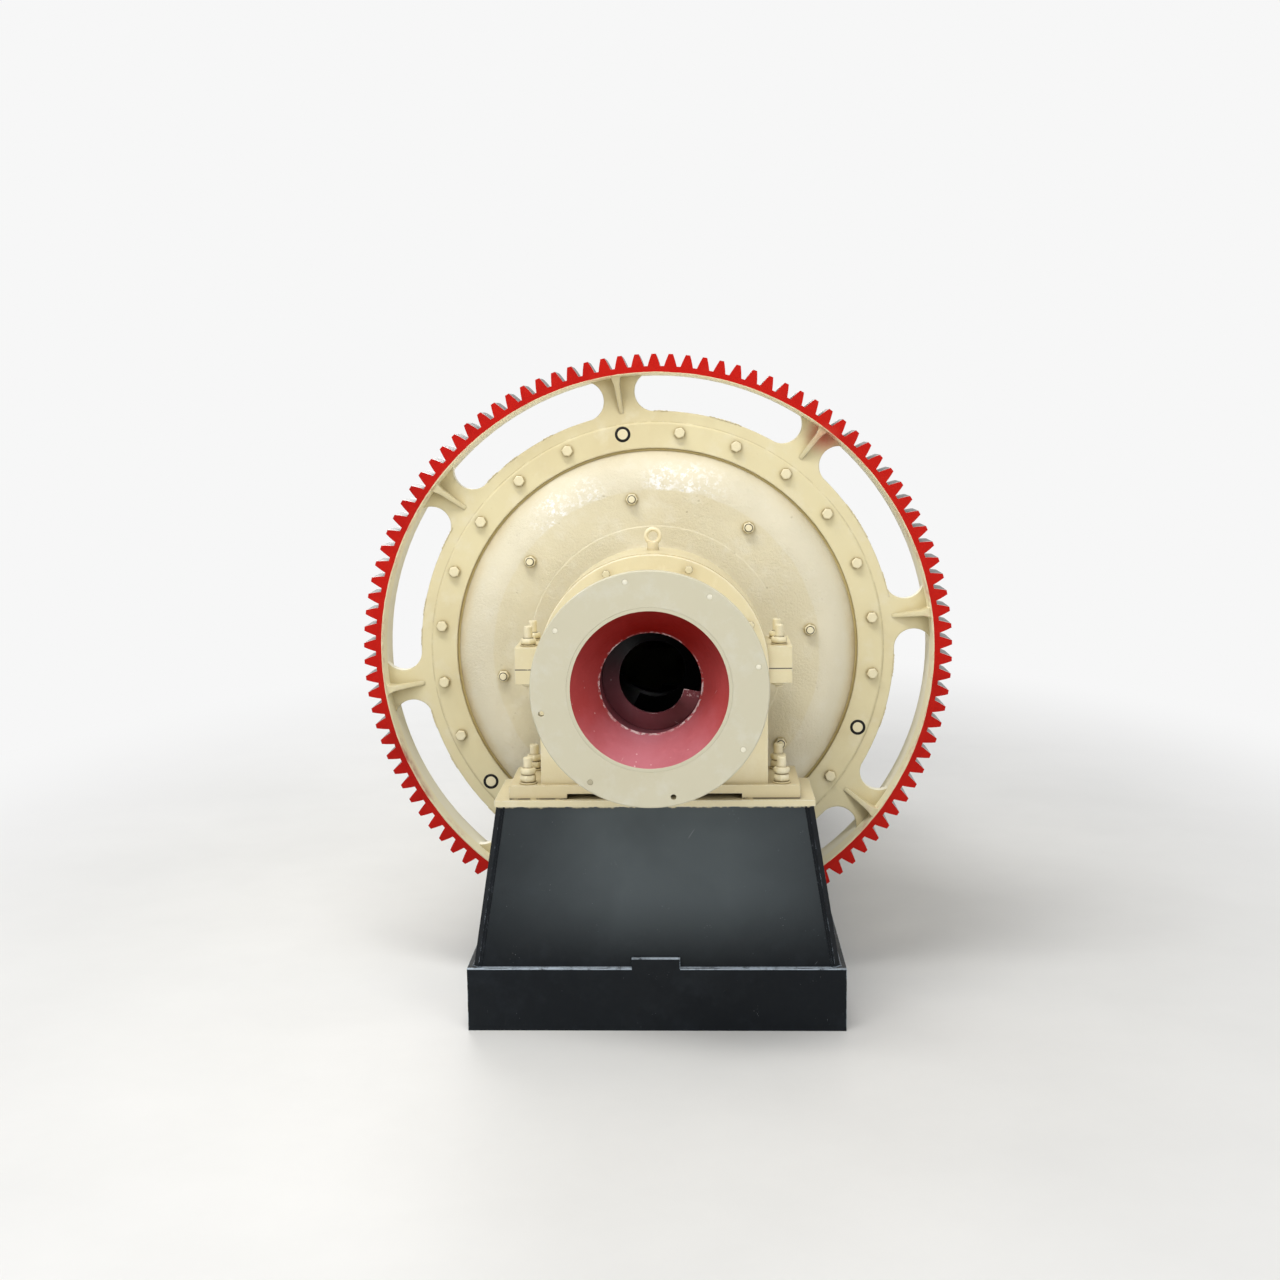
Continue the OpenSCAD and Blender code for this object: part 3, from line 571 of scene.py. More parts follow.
def steelMaterial(name, color, rough, streak=(1, 1, 1), tarnish=0.4):
    mat, tree, shader = newMaterial(name)
    edge = useGroup(tree, edgeWear, Soften=0.0008, Width=0.002, Scale=90.0, Amount=0.4)
    marks = noise(tree, stretched(tree, objectPoint(tree), streak), 240.0, detail=3, rough=0.6)
    stain = remap(tree, noise(tree, objectPoint(tree), 18.0, detail=6, rough=0.7), 0.48, 0.72)
    rust = calc(tree, "MULTIPLY", stain, tarnish)
    dulled = mixColor(tree, rust, color, (0.23, 0.17, 0.11))
    # dirt and painted shade darken the hollows
    grimedAndShaded = mixColor(tree, calc(tree, "MULTIPLY", edge["Hollow"], 0.6), dulled, (0.09, 0.08, 0.07))
    scored = mixColor(tree, remap(tree, marks, 0.3, 0.7, 0.0, 0.3), grimedAndShaded, (0.8, 0.8, 0.79))
    put(tree, scored, shader["Base Color"])
    put(tree, remap(tree, rust, 0.0, 0.5, rough, rough + 0.3), shader["Roughness"])
    put(tree, remap(tree, rust, 0.1, 0.6, 1.0, 0.35), shader["Metallic"])
    put(tree, bumped(tree, marks, 0.0003, edge["Normal"]), shader["Normal"])
    return mat


bushBronze = steelMaterial("bushBronze", (0.60, 0.42, 0.20), 0.35, streak=(1, 0.05, 1), tarnish=0.5)
wearPlate = steelMaterial("wearPlate", (0.24, 0.23, 0.22), 0.5, tarnish=0.8)


# Girth gear: red side faces, ground steel flanks and cream web, told apart by radius and by
# which way a face looks
gearPaint = dict(
    front=-reach("girth_gear", "y"), back=-reach("girth_gear", "y", 1), rimBore=0.7186, rimFront=0.7221,
    toothRoot=0.7391, pinCircle=0.572, pinHole=0.016,
    padEdge=0.598, slotIn=0.626, webFront=0.958, misted=(0.443, -0.958, 1.465),
    red=(0.49, 0.0105, 0.006), darkRed=(0.29, 0.006, 0.005), paleRed=(0.52, 0.020, 0.012),
    # bore and wall are painted light, hole and deep painted shade, edge a painted highlight
    bore=(0.92, 0.87, 0.66), wall=(0.90, 0.88, 0.76), hole=(0.012, 0.011, 0.010),
    chip=(0.50, 0.22, 0.18),
    mistColor=(0.60, 0.16, 0.11), ground=(0.80, 0.80, 0.78), deep=(0.060, 0.058, 0.053),
    hobbed=(0.70, 0.70, 0.68), oil=(0.10, 0.085, 0.06), edge=(0.86, 0.86, 0.84),
)


def gearMaterial():
    b = gearPaint
    mat, tree, shader = newMaterial("redGear", Specular_IOR_Level=0.08)
    place = useGroup(tree, aroundAxis)
    point = objectPoint(tree)
    wander = noise(tree, point, 26.0, detail=4, rough=0.65)
    wobbly = calc(tree, "ADD", place["Radius"], calc(tree, "MULTIPLY_ADD", wander, 0.003, -0.0015))
    faceOn = remap(tree, calc(tree, "ABSOLUTE", split(tree, objectNormal(tree))[1]), 0.55, 0.75)
    sideOn = calc(tree, "SUBTRACT", 1.0, faceOn)
    # round casting fillets on the web, crisp teeth
    inRim = remap(tree, place["Radius"], b["rimBore"] - 0.012, b["rimFront"])
    edge = useGroup(
        tree, edgeWear, Soften=mixValue(tree, inRim, 0.0065, 0.0011),
        Width=mixValue(tree, inRim, 0.004, 0.0022),
        Scale=60.0, Amount=0.45,
    )
    onRim = remap(tree, wobbly, b["rimFront"] + 0.0018, b["rimFront"] + 0.0026)
    redFace = calc(tree, "MULTIPLY", faceOn, onRim)
    # mist of red over the cream close to the rim
    mist = remap(tree, place["Radius"], b["rimBore"] - 0.036, b["rimFront"], smooth=True)
    mistSpots = remap(tree, noise(tree, point, 7.0, detail=5, rough=0.7), 0.52, 0.70)
    nearFront = remap(tree, place["Along"], b["front"] - 0.045, b["front"] - 0.012)
    redMist = product(tree, mist, mistSpots, nearFront, 0.75)
    # teeth: bare steel between the side faces, with a painted highlight along the edge and painted
    # shade in the depths
    beyondRoot = remap(tree, place["Radius"], b["toothRoot"] - 0.0025, b["toothRoot"] - 0.0005)
    flank = calc(tree, "MULTIPLY", beyondRoot, sideOn)
    fromFront = calc(tree, "SUBTRACT", b["front"], place["Along"])
    fromBack = calc(tree, "SUBTRACT", place["Along"], b["back"])
    inward = calc(tree, "MINIMUM", fromFront, fromBack)
    ragged = calc(tree, "MULTIPLY_ADD", wander, -0.010, inward)
    redLip = product(tree, remap(tree, ragged, -0.0035, -0.0015, 0.8, 0.0), flank)
    steel = calc(tree, "SUBTRACT", flank, redLip, clamp=True)
    red = calc(tree, "MAXIMUM", redFace, calc(tree, "MAXIMUM", redLip, redMist))
    redTone = useGroup(
        tree, paintTone, Color=b["red"], Dark=b["darkRed"], Pale=b["paleRed"], Scale=3.5, Amount=0.7,
    )
    creamTone = useGroup(
        tree, paintTone, Color=tinted(cream["color"], (1.06, 1.07, 1.04)), Dark=cream["dark"],
        Pale=cream["pale"],
        Scale=2.6, Amount=0.6,
    )
    # dirt and painted shade darken the hollows of the web
    hollowDarkened = mixColor(
        tree, calc(tree, "MULTIPLY", edge["Hollow"], 0.4), creamTone["Color"], cream["grime"],
    )
    # the rim bore and the slot walls are painted lighter than the web: painted light
    bore = product(tree, near(tree, place["Radius"], b["rimBore"] + 0.0015, 0.0030, 0.0035), sideOn)
    brightenedCream = mixColor(tree, bore, hollowDarkened, b["bore"])
    wall = product(
        tree, sideOn, remap(tree, place["Radius"], b["slotIn"] - 0.004, b["slotIn"]),
        remap(tree, place["Along"], b["webFront"] - 0.0015, b["webFront"] - 0.0005, 1.0, 0.0), 0.85,
    )
    brightenedCream = mixColor(tree, wall, brightenedCream, b["wall"])
    # a broken dark line painted along the foot of the machined pad ring
    padLine = product(
        tree, near(tree, place["Radius"], b["padEdge"], 0.0006, 0.0020), remap(tree, wander, 0.4, 0.5),
        0.3,
    )
    brightenedCream = mixColor(tree, padLine, brightenedCream, cream["grime"])
    # the walls of the pin holes are painted near black: painted shade
    inHole = product(
        tree, near(tree, place["Radius"], b["pinCircle"], b["pinHole"], b["pinHole"] + 0.001), sideOn,
    )
    holed = mixColor(tree, inHole, brightenedCream, b["hole"])
    painted = mixColor(tree, red, holed, redTone["Color"])
    # one patch where red and cream spray met
    patch = remap(
        tree, vectorCalc(tree, "DISTANCE", point, b["misted"], out=1), 0.012, 0.065, 0.8, 0.0,
        smooth=True,
    )
    painted = mixColor(tree, calc(tree, "MULTIPLY", patch, remap(tree, wander, 0.3, 0.6, 0.6, 1.0)),
        painted,
                       b["mistColor"])
    chipColor = mixColor(tree, redFace, cream["bare"], b["chip"])
    chipped = mixColor(tree, calc(tree, "MULTIPLY", edge["Mask"], 0.7), painted, chipColor)
    # hobbing marks run along the teeth
    hob = noise(tree, stretched(tree, point, (1, 0.03, 1)), 900.0, detail=2, rough=0.5)
    feed = noise(tree, stretched(tree, point, (0.02, 1, 0.02)), 420.0, detail=2)
    oil = remap(tree, noise(tree, point, 30.0, detail=5, rough=0.7), 0.45, 0.8)
    # painted shade deeper in between the side faces
    deep = remap(tree, calc(tree, "MULTIPLY_ADD", wander, 0.008, inward), 0.007, 0.020, smooth=True)
    ground = mixColor(tree, deep, b["ground"], b["deep"])
    scored = mixColor(tree, remap(tree, hob, 0.35, 0.7, 0.0, 0.12), ground, b["hobbed"])
    oiled = mixColor(tree, calc(tree, "MULTIPLY", oil, 0.4), scored, b["oil"])
    # a painted highlight along the edges of the flanks
    rim = remap(tree, inward, 0.0008, 0.0020, 0.8, 0.0)
    highlightedSteel = mixColor(tree, rim, oiled, b["edge"])
    put(tree, mixColor(tree, steel, chipped, highlightedSteel), shader["Base Color"])
    put(tree, calc(tree, "MULTIPLY", steel, 0.85), shader["Metallic"])
    paintRough = remap(tree, redTone["Grain"], 0.3, 0.7, 0.30, 0.42)
    steelRough = remap(tree, oil, 0.0, 1.0, 0.38, 0.26)
    put(tree, mixValue(tree, steel, paintRough, steelRough), shader["Roughness"])
    cast = useGroup(tree, castSkin, Scale=60.0, Grit=0.45, Pits=0.35)
    coat = useGroup(tree, enamelSkin, Scale=200.0, Lumps=0.5, Brush=0.1)
    paintHeight = mixValue(tree, redFace, cast["Height"], coat["Height"])
    cut = calc(tree, "MULTIPLY", calc(tree, "ADD", hob, feed), 0.25)
    put(
        tree, bumped(tree, mixValue(tree, steel, paintHeight, cut), 0.0010, edge["Normal"]),
        shader["Normal"],
    )
    return mat


redGear = gearMaterial()

# Cone and lining tube: deep red enamel, with painted shade on faces turned down, at the top of the tube
# and deeper in, and a painted reflection with dust on faces turned up; chipped where cone and tube meet
lining = dict(
    mouth=-reach("discharge_trunnion_liner", "y"), throat=1.519, top=(0.20, 0.0060, 0.0030),
    side=(0.41, 0.058, 0.056), low=(0.54, 0.195, 0.235), tube=(0.19, 0.050, 0.066),
    chip=(0.80, 0.62, 0.60),
    litFrom=0.045, litTo=0.150,
    tubeTop=(0.006, 0.004, 0.005), soot=(0.004, 0.004, 0.004),
)


def liningMaterial():
    b = lining
    mat, tree, shader = newMaterial("redLining", Specular_IOR_Level=0.18)
    edge = useGroup(tree, edgeWear, Soften=0.0012, Width=0.0026, Scale=45.0, Amount=0.45)
    place = useGroup(tree, aroundAxis)
    point = objectPoint(tree)
    normal = split(tree, objectNormal(tree))
    drift = noise(tree, point, 5.0, detail=5, rough=0.65)
    # faces turned down in darker red, faces turned up in pale pink: painted shade, and a painted
    # reflection with some dust
    upward = calc(tree, "ADD", normal[2], calc(tree, "MULTIPLY_ADD", drift, 0.7, -0.35))
    shaded = mixColor(tree, remap(tree, upward, -1.0, 0.05, smooth=True), b["top"], b["side"])
    dustAndReflection = mixColor(tree, remap(tree, upward, 0.2, 1.15, smooth=True), shaded, b["low"])
    paint = useGroup(
        tree, paintTone, Color=(0.5, 0.5, 0.5), Dark=(0.38, 0.35, 0.35), Pale=(0.58, 0.60, 0.60),
        Scale=6.0,
        Amount=0.7,
    )
    toned = mixColor(tree, 0.6, dustAndReflection, paint["Color"], "OVERLAY")
    inTube = remap(tree, place["Along"], b["throat"] - 0.004, b["throat"] - 0.001, 1.0, 0.0)
    # the top of the tube painted near black: painted shade
    tubeTone = mixColor(tree, remap(tree, upward, -0.5, 0.5, smooth=True), b["tubeTop"], b["tube"])
    tubed = mixColor(tree, calc(tree, "MULTIPLY", inTube, 0.85), toned, tubeTone)
    rub = useGroup(tree, scuffs, Scale=12.0, Amount=0.6)
    wornLow = remap(tree, upward, -0.2, 0.5, 0.0, 0.35)
    rubbed = mixColor(tree, calc(tree, "MULTIPLY", rub["Rubbed"], wornLow), tubed, b["low"])
    marked = mixColor(tree, calc(tree, "MULTIPLY", rub["Scratch"], 0.7), rubbed, b["chip"])
    dots = remap(tree, cells(tree, point, 42.0), 0.05, 0.10, 1.0, 0.0)
    dotted = product(tree, dots, remap(tree, upward, -0.1, 0.3), remap(tree, drift, 0.42, 0.56))
    marked = mixColor(tree, calc(tree, "MULTIPLY", dotted, 0.8), marked, b["chip"])
    # ragged pale edge where the tube is let into the cone
    ragged = noise(tree, point, 70.0, detail=5, rough=0.7)
    shifted = calc(tree, "ADD", place["Along"], calc(tree, "MULTIPLY_ADD", ragged, 0.012, -0.006))
    flecks = remap(tree, noise(tree, point, 75.0, detail=4, rough=0.7), 0.47, 0.53)
    line = product(
        tree, near(tree, shifted, b["throat"] + 0.0016, 0.0026, 0.0050), flecks,
        remap(tree, drift, 0.34, 0.46),
    )
    chipped = mixColor(
        tree, calc(tree, "MAXIMUM", line, calc(tree, "MULTIPLY", edge["Mask"], 0.8)), marked,
        b["chip"],
    )
    # the mouth end is painted with the flange round it
    atMouth = product(
        tree, remap(tree, place["Along"], b["mouth"] - 0.0008, b["mouth"] - 0.0003),
        remap(tree, calc(tree, "ABSOLUTE", normal[1]), 0.7, 0.9),
    )
    # painted shade, darker deeper into the tube
    depth = calc(tree, "SUBTRACT", b["throat"], place["Along"])
    soot = remap(
        tree, calc(tree, "MULTIPLY_ADD", drift, 0.02, depth), b["litFrom"], b["litTo"], smooth=True,
    )
    chipped = mixColor(tree, soot, chipped, b["soot"])
    put(tree, mixColor(tree, atMouth, chipped, tinted(cream["color"], mouthTint)), shader["Base Color"])
    put(tree, remap(tree, rub["Rubbed"], 0.0, 0.5, 0.3, 0.5), shader["Roughness"])
    skin = useGroup(tree, enamelSkin, Scale=120.0, Lumps=0.8, Brush=0.3)
    scored = calc(tree, "MULTIPLY_ADD", line, -0.6, skin["Height"])
    put(tree, bumped(tree, scored, 0.0008, edge["Normal"]), shader["Normal"])
    return mat


redLining = liningMaterial()

# Base and pedestals: near-black enamel with a cold tint, a pale painted sheen on the upright plates,
# bluish chips along the edges, and cream overspray under the bearing
black = dict(
    color=(0.0070, 0.0092, 0.0118), dark=(0.0045, 0.0056, 0.0075), pale=(0.0125, 0.0160, 0.0205),
    haze=(0.096, 0.113, 0.121), chip=(0.40, 0.48, 0.56), line=(0.56, 0.65, 0.75),
    dust=(0.20, 0.21, 0.21), speck=(0.42, 0.45, 0.48),
)
pedestalTop = reach("discharge_pedestal_front_plate", "z", 1)
pedestalFoot = reach("discharge_pedestal_front_plate", "z")
baseFront = -reach("base_front_channel", "y")
tabTop = reach("base_front_channel", "z", 1)
tabHalf = 0.060


def blackMaterial(name, chip, haze=0.0, footLine=0.0, overspray=0.0, soften=0.0016):
    b = black
    mat, tree, shader = newMaterial(name, Specular_IOR_Level=0.12)
    edge = useGroup(tree, edgeWear, Soften=soften, Width=0.0035, Scale=38.0, Amount=chip)
    paint = useGroup(
        tree, paintTone, Color=b["color"], Dark=b["dark"], Pale=b["pale"], Scale=1.8, Amount=0.8,
    )
    rub = useGroup(tree, scuffs, Scale=7.0, Amount=0.6)
    dust = useGroup(tree, settledDust, Scale=9.0, Amount=0.6)
    point = objectPoint(tree)
    height = split(tree, point)[2]
    color = mixColor(tree, calc(tree, "MULTIPLY", rub["Rubbed"], 0.10), paint["Color"], b["haze"])
    # a pale painted sheen rising up the middle of the upright plates
    if haze:
        rise = remap(tree, height, pedestalFoot - 0.02, pedestalTop - 0.19, smooth=True)
        inside = near(tree, split(tree, point)[0], 0.02, 0.16, 0.56)
        patchy = remap(tree, noise(tree, point, 2.6, detail=3, distortion=0.3), 0.20, 0.60, 0.55, 1.0)
        color = mixColor(tree, product(tree, rise, inside, patchy, haze), color, b["haze"])
    color = mixColor(tree, calc(tree, "MULTIPLY", dust["Mask"], 0.7), color, b["dust"])
    color = mixColor(tree, calc(tree, "MULTIPLY", dust["Specks"], 0.9), color, b["speck"])
    color = mixColor(tree, calc(tree, "MULTIPLY", rub["Scratch"], 0.6), color, b["speck"])
    ragged = noise(tree, point, 30.0, detail=6, rough=0.75)
    if footLine:
        # chipped line along the joint over the channel, or along the channel's own front edge, and a
        # painted highlight along the top edge of the tab
        strip = near(tree, height, pedestalFoot, 0.0012, 0.0034)
        if name == "blackBase":
            across, along, _ = split(tree, point)
            out = calc(tree, "SUBTRACT", baseFront, calc(tree, "ABSOLUTE", along))
            reachBack = remap(tree, noise(tree, point, 6.0, detail=4), 0.44, 0.62, 0.0012, 0.010)
            strip = calc(tree, "MULTIPLY", strip, calc(tree, "LESS_THAN", out, reachBack))
            offTab = calc(tree, "GREATER_THAN", calc(tree, "ABSOLUTE", across), tabHalf)
            strip = calc(tree, "MULTIPLY", strip, offTab)
            strip = calc(tree, "MAXIMUM", strip, near(tree, height, tabTop, 0.0016, 0.0040))
        stretches = remap(tree, noise(tree, point, 3.2, detail=2), 0.30, 0.46, 0.35, 1.0)
        broken = product(tree, strip, remap(tree, ragged, 0.36, 0.50, 0.2, 1.0), stretches, footLine)
        color = mixColor(tree, broken, color, b["line"])
    if overspray:
        low = calc(tree, "MULTIPLY_ADD", ragged, 0.020, calc(tree, "SUBTRACT", height, pedestalTop))
        color = mixColor(
            tree, product(tree, remap(tree, low, 0.0065, 0.0085), overspray), color, cream["color"],
        )
    color = mixColor(tree, calc(tree, "MULTIPLY", edge["Mask"], 0.9), color, b["chip"])
    put(tree, color, shader["Base Color"])
    spread = remap(tree, paint["Grain"], 0.3, 0.7, 0.34, 0.48)
    put(tree, calc(tree, "MULTIPLY_ADD", dust["Mask"], 0.3, spread, clamp=True), shader["Roughness"])
    skin = useGroup(tree, enamelSkin, Scale=110.0, Lumps=1.2, Brush=0.4)
    scored = calc(tree, "MULTIPLY_ADD", rub["Scratch"], -0.3, skin["Height"])
    put(tree, bumped(tree, scored, 0.0009, edge["Normal"]), shader["Normal"])
    return mat


blackBase = blackMaterial("blackBase", 0.5, footLine=0.9)
blackUpright = blackMaterial("blackUpright", 0.32, haze=0.9, footLine=0.9, overspray=0.9)
blackSide = blackMaterial("blackSide", 0.42, footLine=0.6, overspray=0.8)
blackWeld = blackMaterial("blackWeld", 0.35, footLine=0.6, soften=0.0006)
print("materials built:", len(bpy.data.materials))


# smooth shading of the CAD nodes, with edges over this angle kept sharp
def smoothingGroup(limit):
    g = bpy.data.node_groups.new("smoothShading", "GeometryNodeTree")
    g.interface.new_socket("Geometry", in_out="INPUT", socket_type="NodeSocketGeometry")
    g.interface.new_socket("Geometry", in_out="OUTPUT", socket_type="NodeSocketGeometry")
    start, end = g.nodes.new("NodeGroupInput"), g.nodes.new("NodeGroupOutput")
    merge = g.nodes.new("GeometryNodeMergeByDistance")
    merge.inputs["Distance"].default_value = 0.00002
    faces = g.nodes.new("GeometryNodeSetShadeSmooth")
    edges = g.nodes.new("GeometryNodeSetShadeSmooth")
    edges.domain = "EDGE"
    angle = g.nodes.new("GeometryNodeInputMeshEdgeAngle")
    compare = g.nodes.new("FunctionNodeCompare")
    compare.operation = "LESS_THAN"
    compare.inputs["B"].default_value = math.radians(limit)
    g.links.new(angle.outputs["Unsigned Angle"], compare.inputs["A"])
    g.links.new(compare.outputs[0], edges.inputs["Shade Smooth"])
    g.links.new(start.outputs[0], merge.inputs["Geometry"])
    g.links.new(merge.outputs[0], faces.inputs["Geometry"])
    g.links.new(faces.outputs[0], edges.inputs["Geometry"])
    g.links.new(edges.outputs[0], end.inputs[0])
    return g


smoothShading = smoothingGroup(28)

nodeMaterials = {
    blackBase: ["base_side_channel_left", "base_side_channel_right", "base_front_channel",
        "base_rear_channel",
                "base_cross_channels"],
    blackUpright: ["pedestal_front_plate", "pedestal_rear_plate"],
    blackSide: ["pedestal_side_plates"],
    creamSole: ["sole_plate"],
    creamHousing: ["bearing_housing", "bearing_cap"],
    creamInner: ["inner_cover_ring"],
    creamEye: ["lifting_eye"],
    creamRing: ["outer_cover_ring"],
    bushBronze: ["bearing_bush"],
    creamBolt: ["bearing_cap_studs", "foundation_studs"],
    creamPlate: ["drum_shell", "shell_flange", "manhole_frame", "manhole_cover"],
    wearPlate: ["drum_liner"],
    redGear: ["girth_gear"],
    gearPin: ["gear_locating_pins"],
    creamCasting: ["end_cover"],
    redLining: ["trunnion_liner", "spiral_flight"],
    creamMouth: ["mouth_flange"],
}
dressedIn = {node: mat for mat, nodes in nodeMaterials.items() for node in nodes}
for name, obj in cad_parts.items():
    plain = name.replace("discharge_", "").replace("feed_", "")
    for slot in obj.material_slots:
        slot.material = dressedIn[plain]
    modifier = obj.modifiers.new("smoothShading", "NODES")
    modifier.node_group = smoothShading
print("CAD nodes dressed")


# mesh helpers: each adds to an open bmesh, in a frame whose +Z points away from the face
def onDrum(turn, radius, along, outward):
    # place on a face square to the mill axis; outward is -1 towards the discharge end
    a = math.radians(turn)
    place = Vector((radius * math.sin(a), along, axisHeight + radius * math.cos(a)))
    tilt = Matrix.Rotation(math.radians(90 if outward < 0 else -90), 4, "X")
    return Matrix.Translation(place) @ tilt


def onShell(turn, radius, along):
    # place on the shell, +Z pointing away from the axis
    a = math.radians(turn)
    place = Vector((radius * math.sin(a), along, axisHeight + radius * math.cos(a)))
    return Matrix.Translation(place) @ Matrix.Rotation(a, 4, "Y")


def lifted(at, height):
    return at @ Matrix.Translation((0, 0, height))


def skinRings(bm, rings, slot, closed=False):
    count = len(rings[0])
    pairs = list(zip(rings, rings[1:])) + ([(rings[-1], rings[0])] if closed else [])
    for low, high in pairs:
        for k in range(count):
            face = bm.faces.new((low[k], low[(k + 1) % count], high[(k + 1) % count], high[k]))
            face.material_index = slot
            face.smooth = True
    if not closed:
        bm.faces.new(list(reversed(rings[0]))).material_index = slot
        bm.faces.new(rings[-1]).material_index = slot


def lathe(bm, at, profile, segments=24, slot=0, shape=None):
    # closed skin from a list of (radius, height); shape may change them by angle
    rings = []
    for radius, height in profile:
        ring = []
        for k in range(segments):
            a = 2 * math.pi * k / segments
            r, h = (radius, height) if shape is None else shape(a, radius, height)
            ring.append(bm.verts.new(at @ Vector((r * math.cos(a), r * math.sin(a), h))))
        rings.append(ring)
    skinRings(bm, rings, slot)


def hexagon(bm, at, flats, height, slot=0, turn=0.0, bothEnds=False):
    # nut or bolt head with the curved chamfer of a turned blank
    top = flats * 0.425

    def shape(a, radius, h):
        full = flats / 2 / math.cos((a + turn) % (math.pi / 3) - math.pi / 6)
        drop = (full - top) * 0.65
        if radius == 0:
            return top, h
        if h <= 0:
            return full, (drop if bothEnds else 0)
        return full, h - drop

    profile = ([(0, 0)] if bothEnds else []) + [(1, 0), (1, height), (0, height)]
    lathe(bm, at, profile, 48, slot, shape)


def washer(bm, at, outer, thick, slot=3):
    profile = [(outer - 0.0006, 0), (outer, 0.0006), (outer, thick - 0.0008), (outer - 0.0008, thick)]
    lathe(bm, at, profile, 32, slot)


def threadedRod(bm, at, radius, length, pitch, slot=0, foot=2):
    # a dark ring of dirt and painted shade lies where the thread leaves its nut
    lathe(bm, at, [(radius + 0.0019, -0.0002), (radius + 0.0017, 0.0003)], 24, foot)
    depth = pitch * 0.3
    steps = max(4, int(length / pitch * 4))
    segments = 20
    rings = []
    for i in range(steps + 1):
        z = length * i / steps
        ring = []
        for k in range(segments):
            phase = (z / pitch - k / segments) % 1.0
            r = radius - depth * abs(2 * phase - 1)
            end = max(0.0, 1 - (length - z) / (pitch * 1.1))
            r -= end * depth * 1.4
            a = 2 * math.pi * k / segments
            ring.append(bm.verts.new(at @ Vector((r * math.cos(a), r * math.sin(a), z))))
        rings.append(ring)
    skinRings(bm, rings, slot)


def weldBead(bm, points, normals, radius, seed, slot=0, ripple=0.0035, closed=False, ragged=0.08):
    # rippled fillet weld laid along points, each with the direction it faces
    dice = random.Random(seed)
    sides = 7
    rings = []
    count = len(points)
    for i, (point, normal) in enumerate(zip(points, normals)):
        after = points[(i + 1) % count] if closed or i + 1 < count else point
        before = points[i - 1] if closed or i else point
        along = (after - before).normalized()
        side = along.cross(normal).normalized()
        r = radius * (1 + 0.16 * math.sin(i * 1.9) + dice.uniform(-ragged, ragged))
        ring = []
        for k in range(sides):
            a = math.pi * 2 * k / sides
            offset = normal * (math.cos(a) * r * 0.8) + side * (math.sin(a) * r)
            ring.append(bm.verts.new(point + offset + along * (math.cos(a) * ripple * 0.4)))
        rings.append(ring)
    skinRings(bm, rings, slot, closed)


def straightWeld(bm, start, end, normal, radius, seed, slot=0, step=0.0035):
    start, end, normal = Vector(start), Vector(end), Vector(normal).normalized()
    count = max(2, int((end - start).length / step))
    points = [start.lerp(end, i / count) for i in range(count + 1)]
    weldBead(bm, points, [normal] * len(points), radius, seed, slot)


def ringWeld(bm, radius, along, lean, weldRadius, seed, slot=0, step=0.005):
    # weld right round the drum; lean is the way it faces along the axis
    count = int(2 * math.pi * radius / step)
    points, normals = [], []
    for i in range(count):
        a = 2 * math.pi * i / count
        away = Vector((math.sin(a), 0, math.cos(a)))
        points.append(axisPoint + away * radius + Vector((0, along, 0)))
        normals.append((away + Vector((0, lean, 0))).normalized())
    weldBead(bm, points, normals, weldRadius, seed, slot, closed=True)


def finishPiece(name, bm, materials, body, replaced=()):
    mesh = bpy.data.meshes.new(name)
    bmesh.ops.recalc_face_normals(bm, faces=bm.faces)
    bm.to_mesh(mesh)
    bm.free()
    for mat in materials:
        mesh.materials.append(mat)
    obj = bpy.data.objects.new(name, mesh)
    bpy.context.collection.objects.link(obj)
    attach(obj, body)
    if replaced:
        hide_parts(*replaced)
    return obj


# materials of every bolt: heads and nuts, thread ends, the dark ring round them (dirt and painted
# shade), washers
boltSet = [creamBolt, creamThread, sealBlack, creamWasher]

# flange bolts: head and washer in front, nut and thread end behind
drumEnd = reach("feed_shell_flange", "y", 1)
shellFlangeBack = reach("feed_shell_flange", "y")
coverFlangeFace = drumEnd + 0.030
gearPadFace = -reach("gear_locating_pins", "y") + 0.002
flangeBolt = dict(
    count=24, pins=(0, 8, 16), radius=0.572, turn=-8.3, flats=0.0255, head=0.0125, washer=0.0166,
    washerThick=0.0028, nut=0.0145, shank=0.009, tail=0.010, pitch=0.002,
)


def flangeBolts(name, headAt, nutAt, outward):
    b = flangeBolt
    dice = random.Random(name)
    bm = bmesh.new()
    for i in range(b["count"]):
        if i in b["pins"]:
            continue
        turn = b["turn"] + i * 360 / b["count"] + dice.uniform(-0.12, 0.12)
        twist = dice.uniform(0, math.pi / 3)
        front = onDrum(turn, b["radius"], headAt, outward)
        washer(bm, front, b["washer"], b["washerThick"])
        hexagon(bm, lifted(front, b["washerThick"]), b["flats"], b["head"], turn=twist)
        back = onDrum(turn, b["radius"], nutAt, -outward)
        washer(bm, back, b["washer"], b["washerThick"])
        hexagon(
            bm, lifted(back, b["washerThick"]), b["flats"], b["nut"], turn=twist + 0.4, bothEnds=True,
        )
        threadedRod(
            bm, lifted(back, b["washerThick"] + b["nut"]), b["shank"], b["tail"], b["pitch"], slot=1,
        )
    return finishPiece(name, bm, boltSet, "rotor")


flangeBolts("gear_flange_bolts", -gearPadFace, -shellFlangeBack, -1)
flangeBolts("feed_flange_bolts", coverFlangeFace, shellFlangeBack, 1)

# plain locating pins in the feed flange, where the discharge flange has its pins under the gear
feedPin = [(0.0125, -0.004), (0.0125, 0.0035), (0.0115, 0.0045), (0.004, 0.0045), (0.003, 0.003)]


def feedPins():
    bm = bmesh.new()
    for i in flangeBolt["pins"]:
        turn = flangeBolt["turn"] + i * 360 / flangeBolt["count"]
        lathe(bm, onDrum(turn, flangeBolt["radius"], coverFlangeFace, 1), feedPin, 28)
    return finishPiece("feed_locating_pins", bm, [creamBolt], "rotor")


feedPins()
print("flange bolts made")

# thin ragged flash that the mould left along the inner edges of the gear's slots
slotFlash = dict(radius=0.6262, front=0.958, size=0.0013, slots=8, turn=15.0, runs=3, half=17.0)


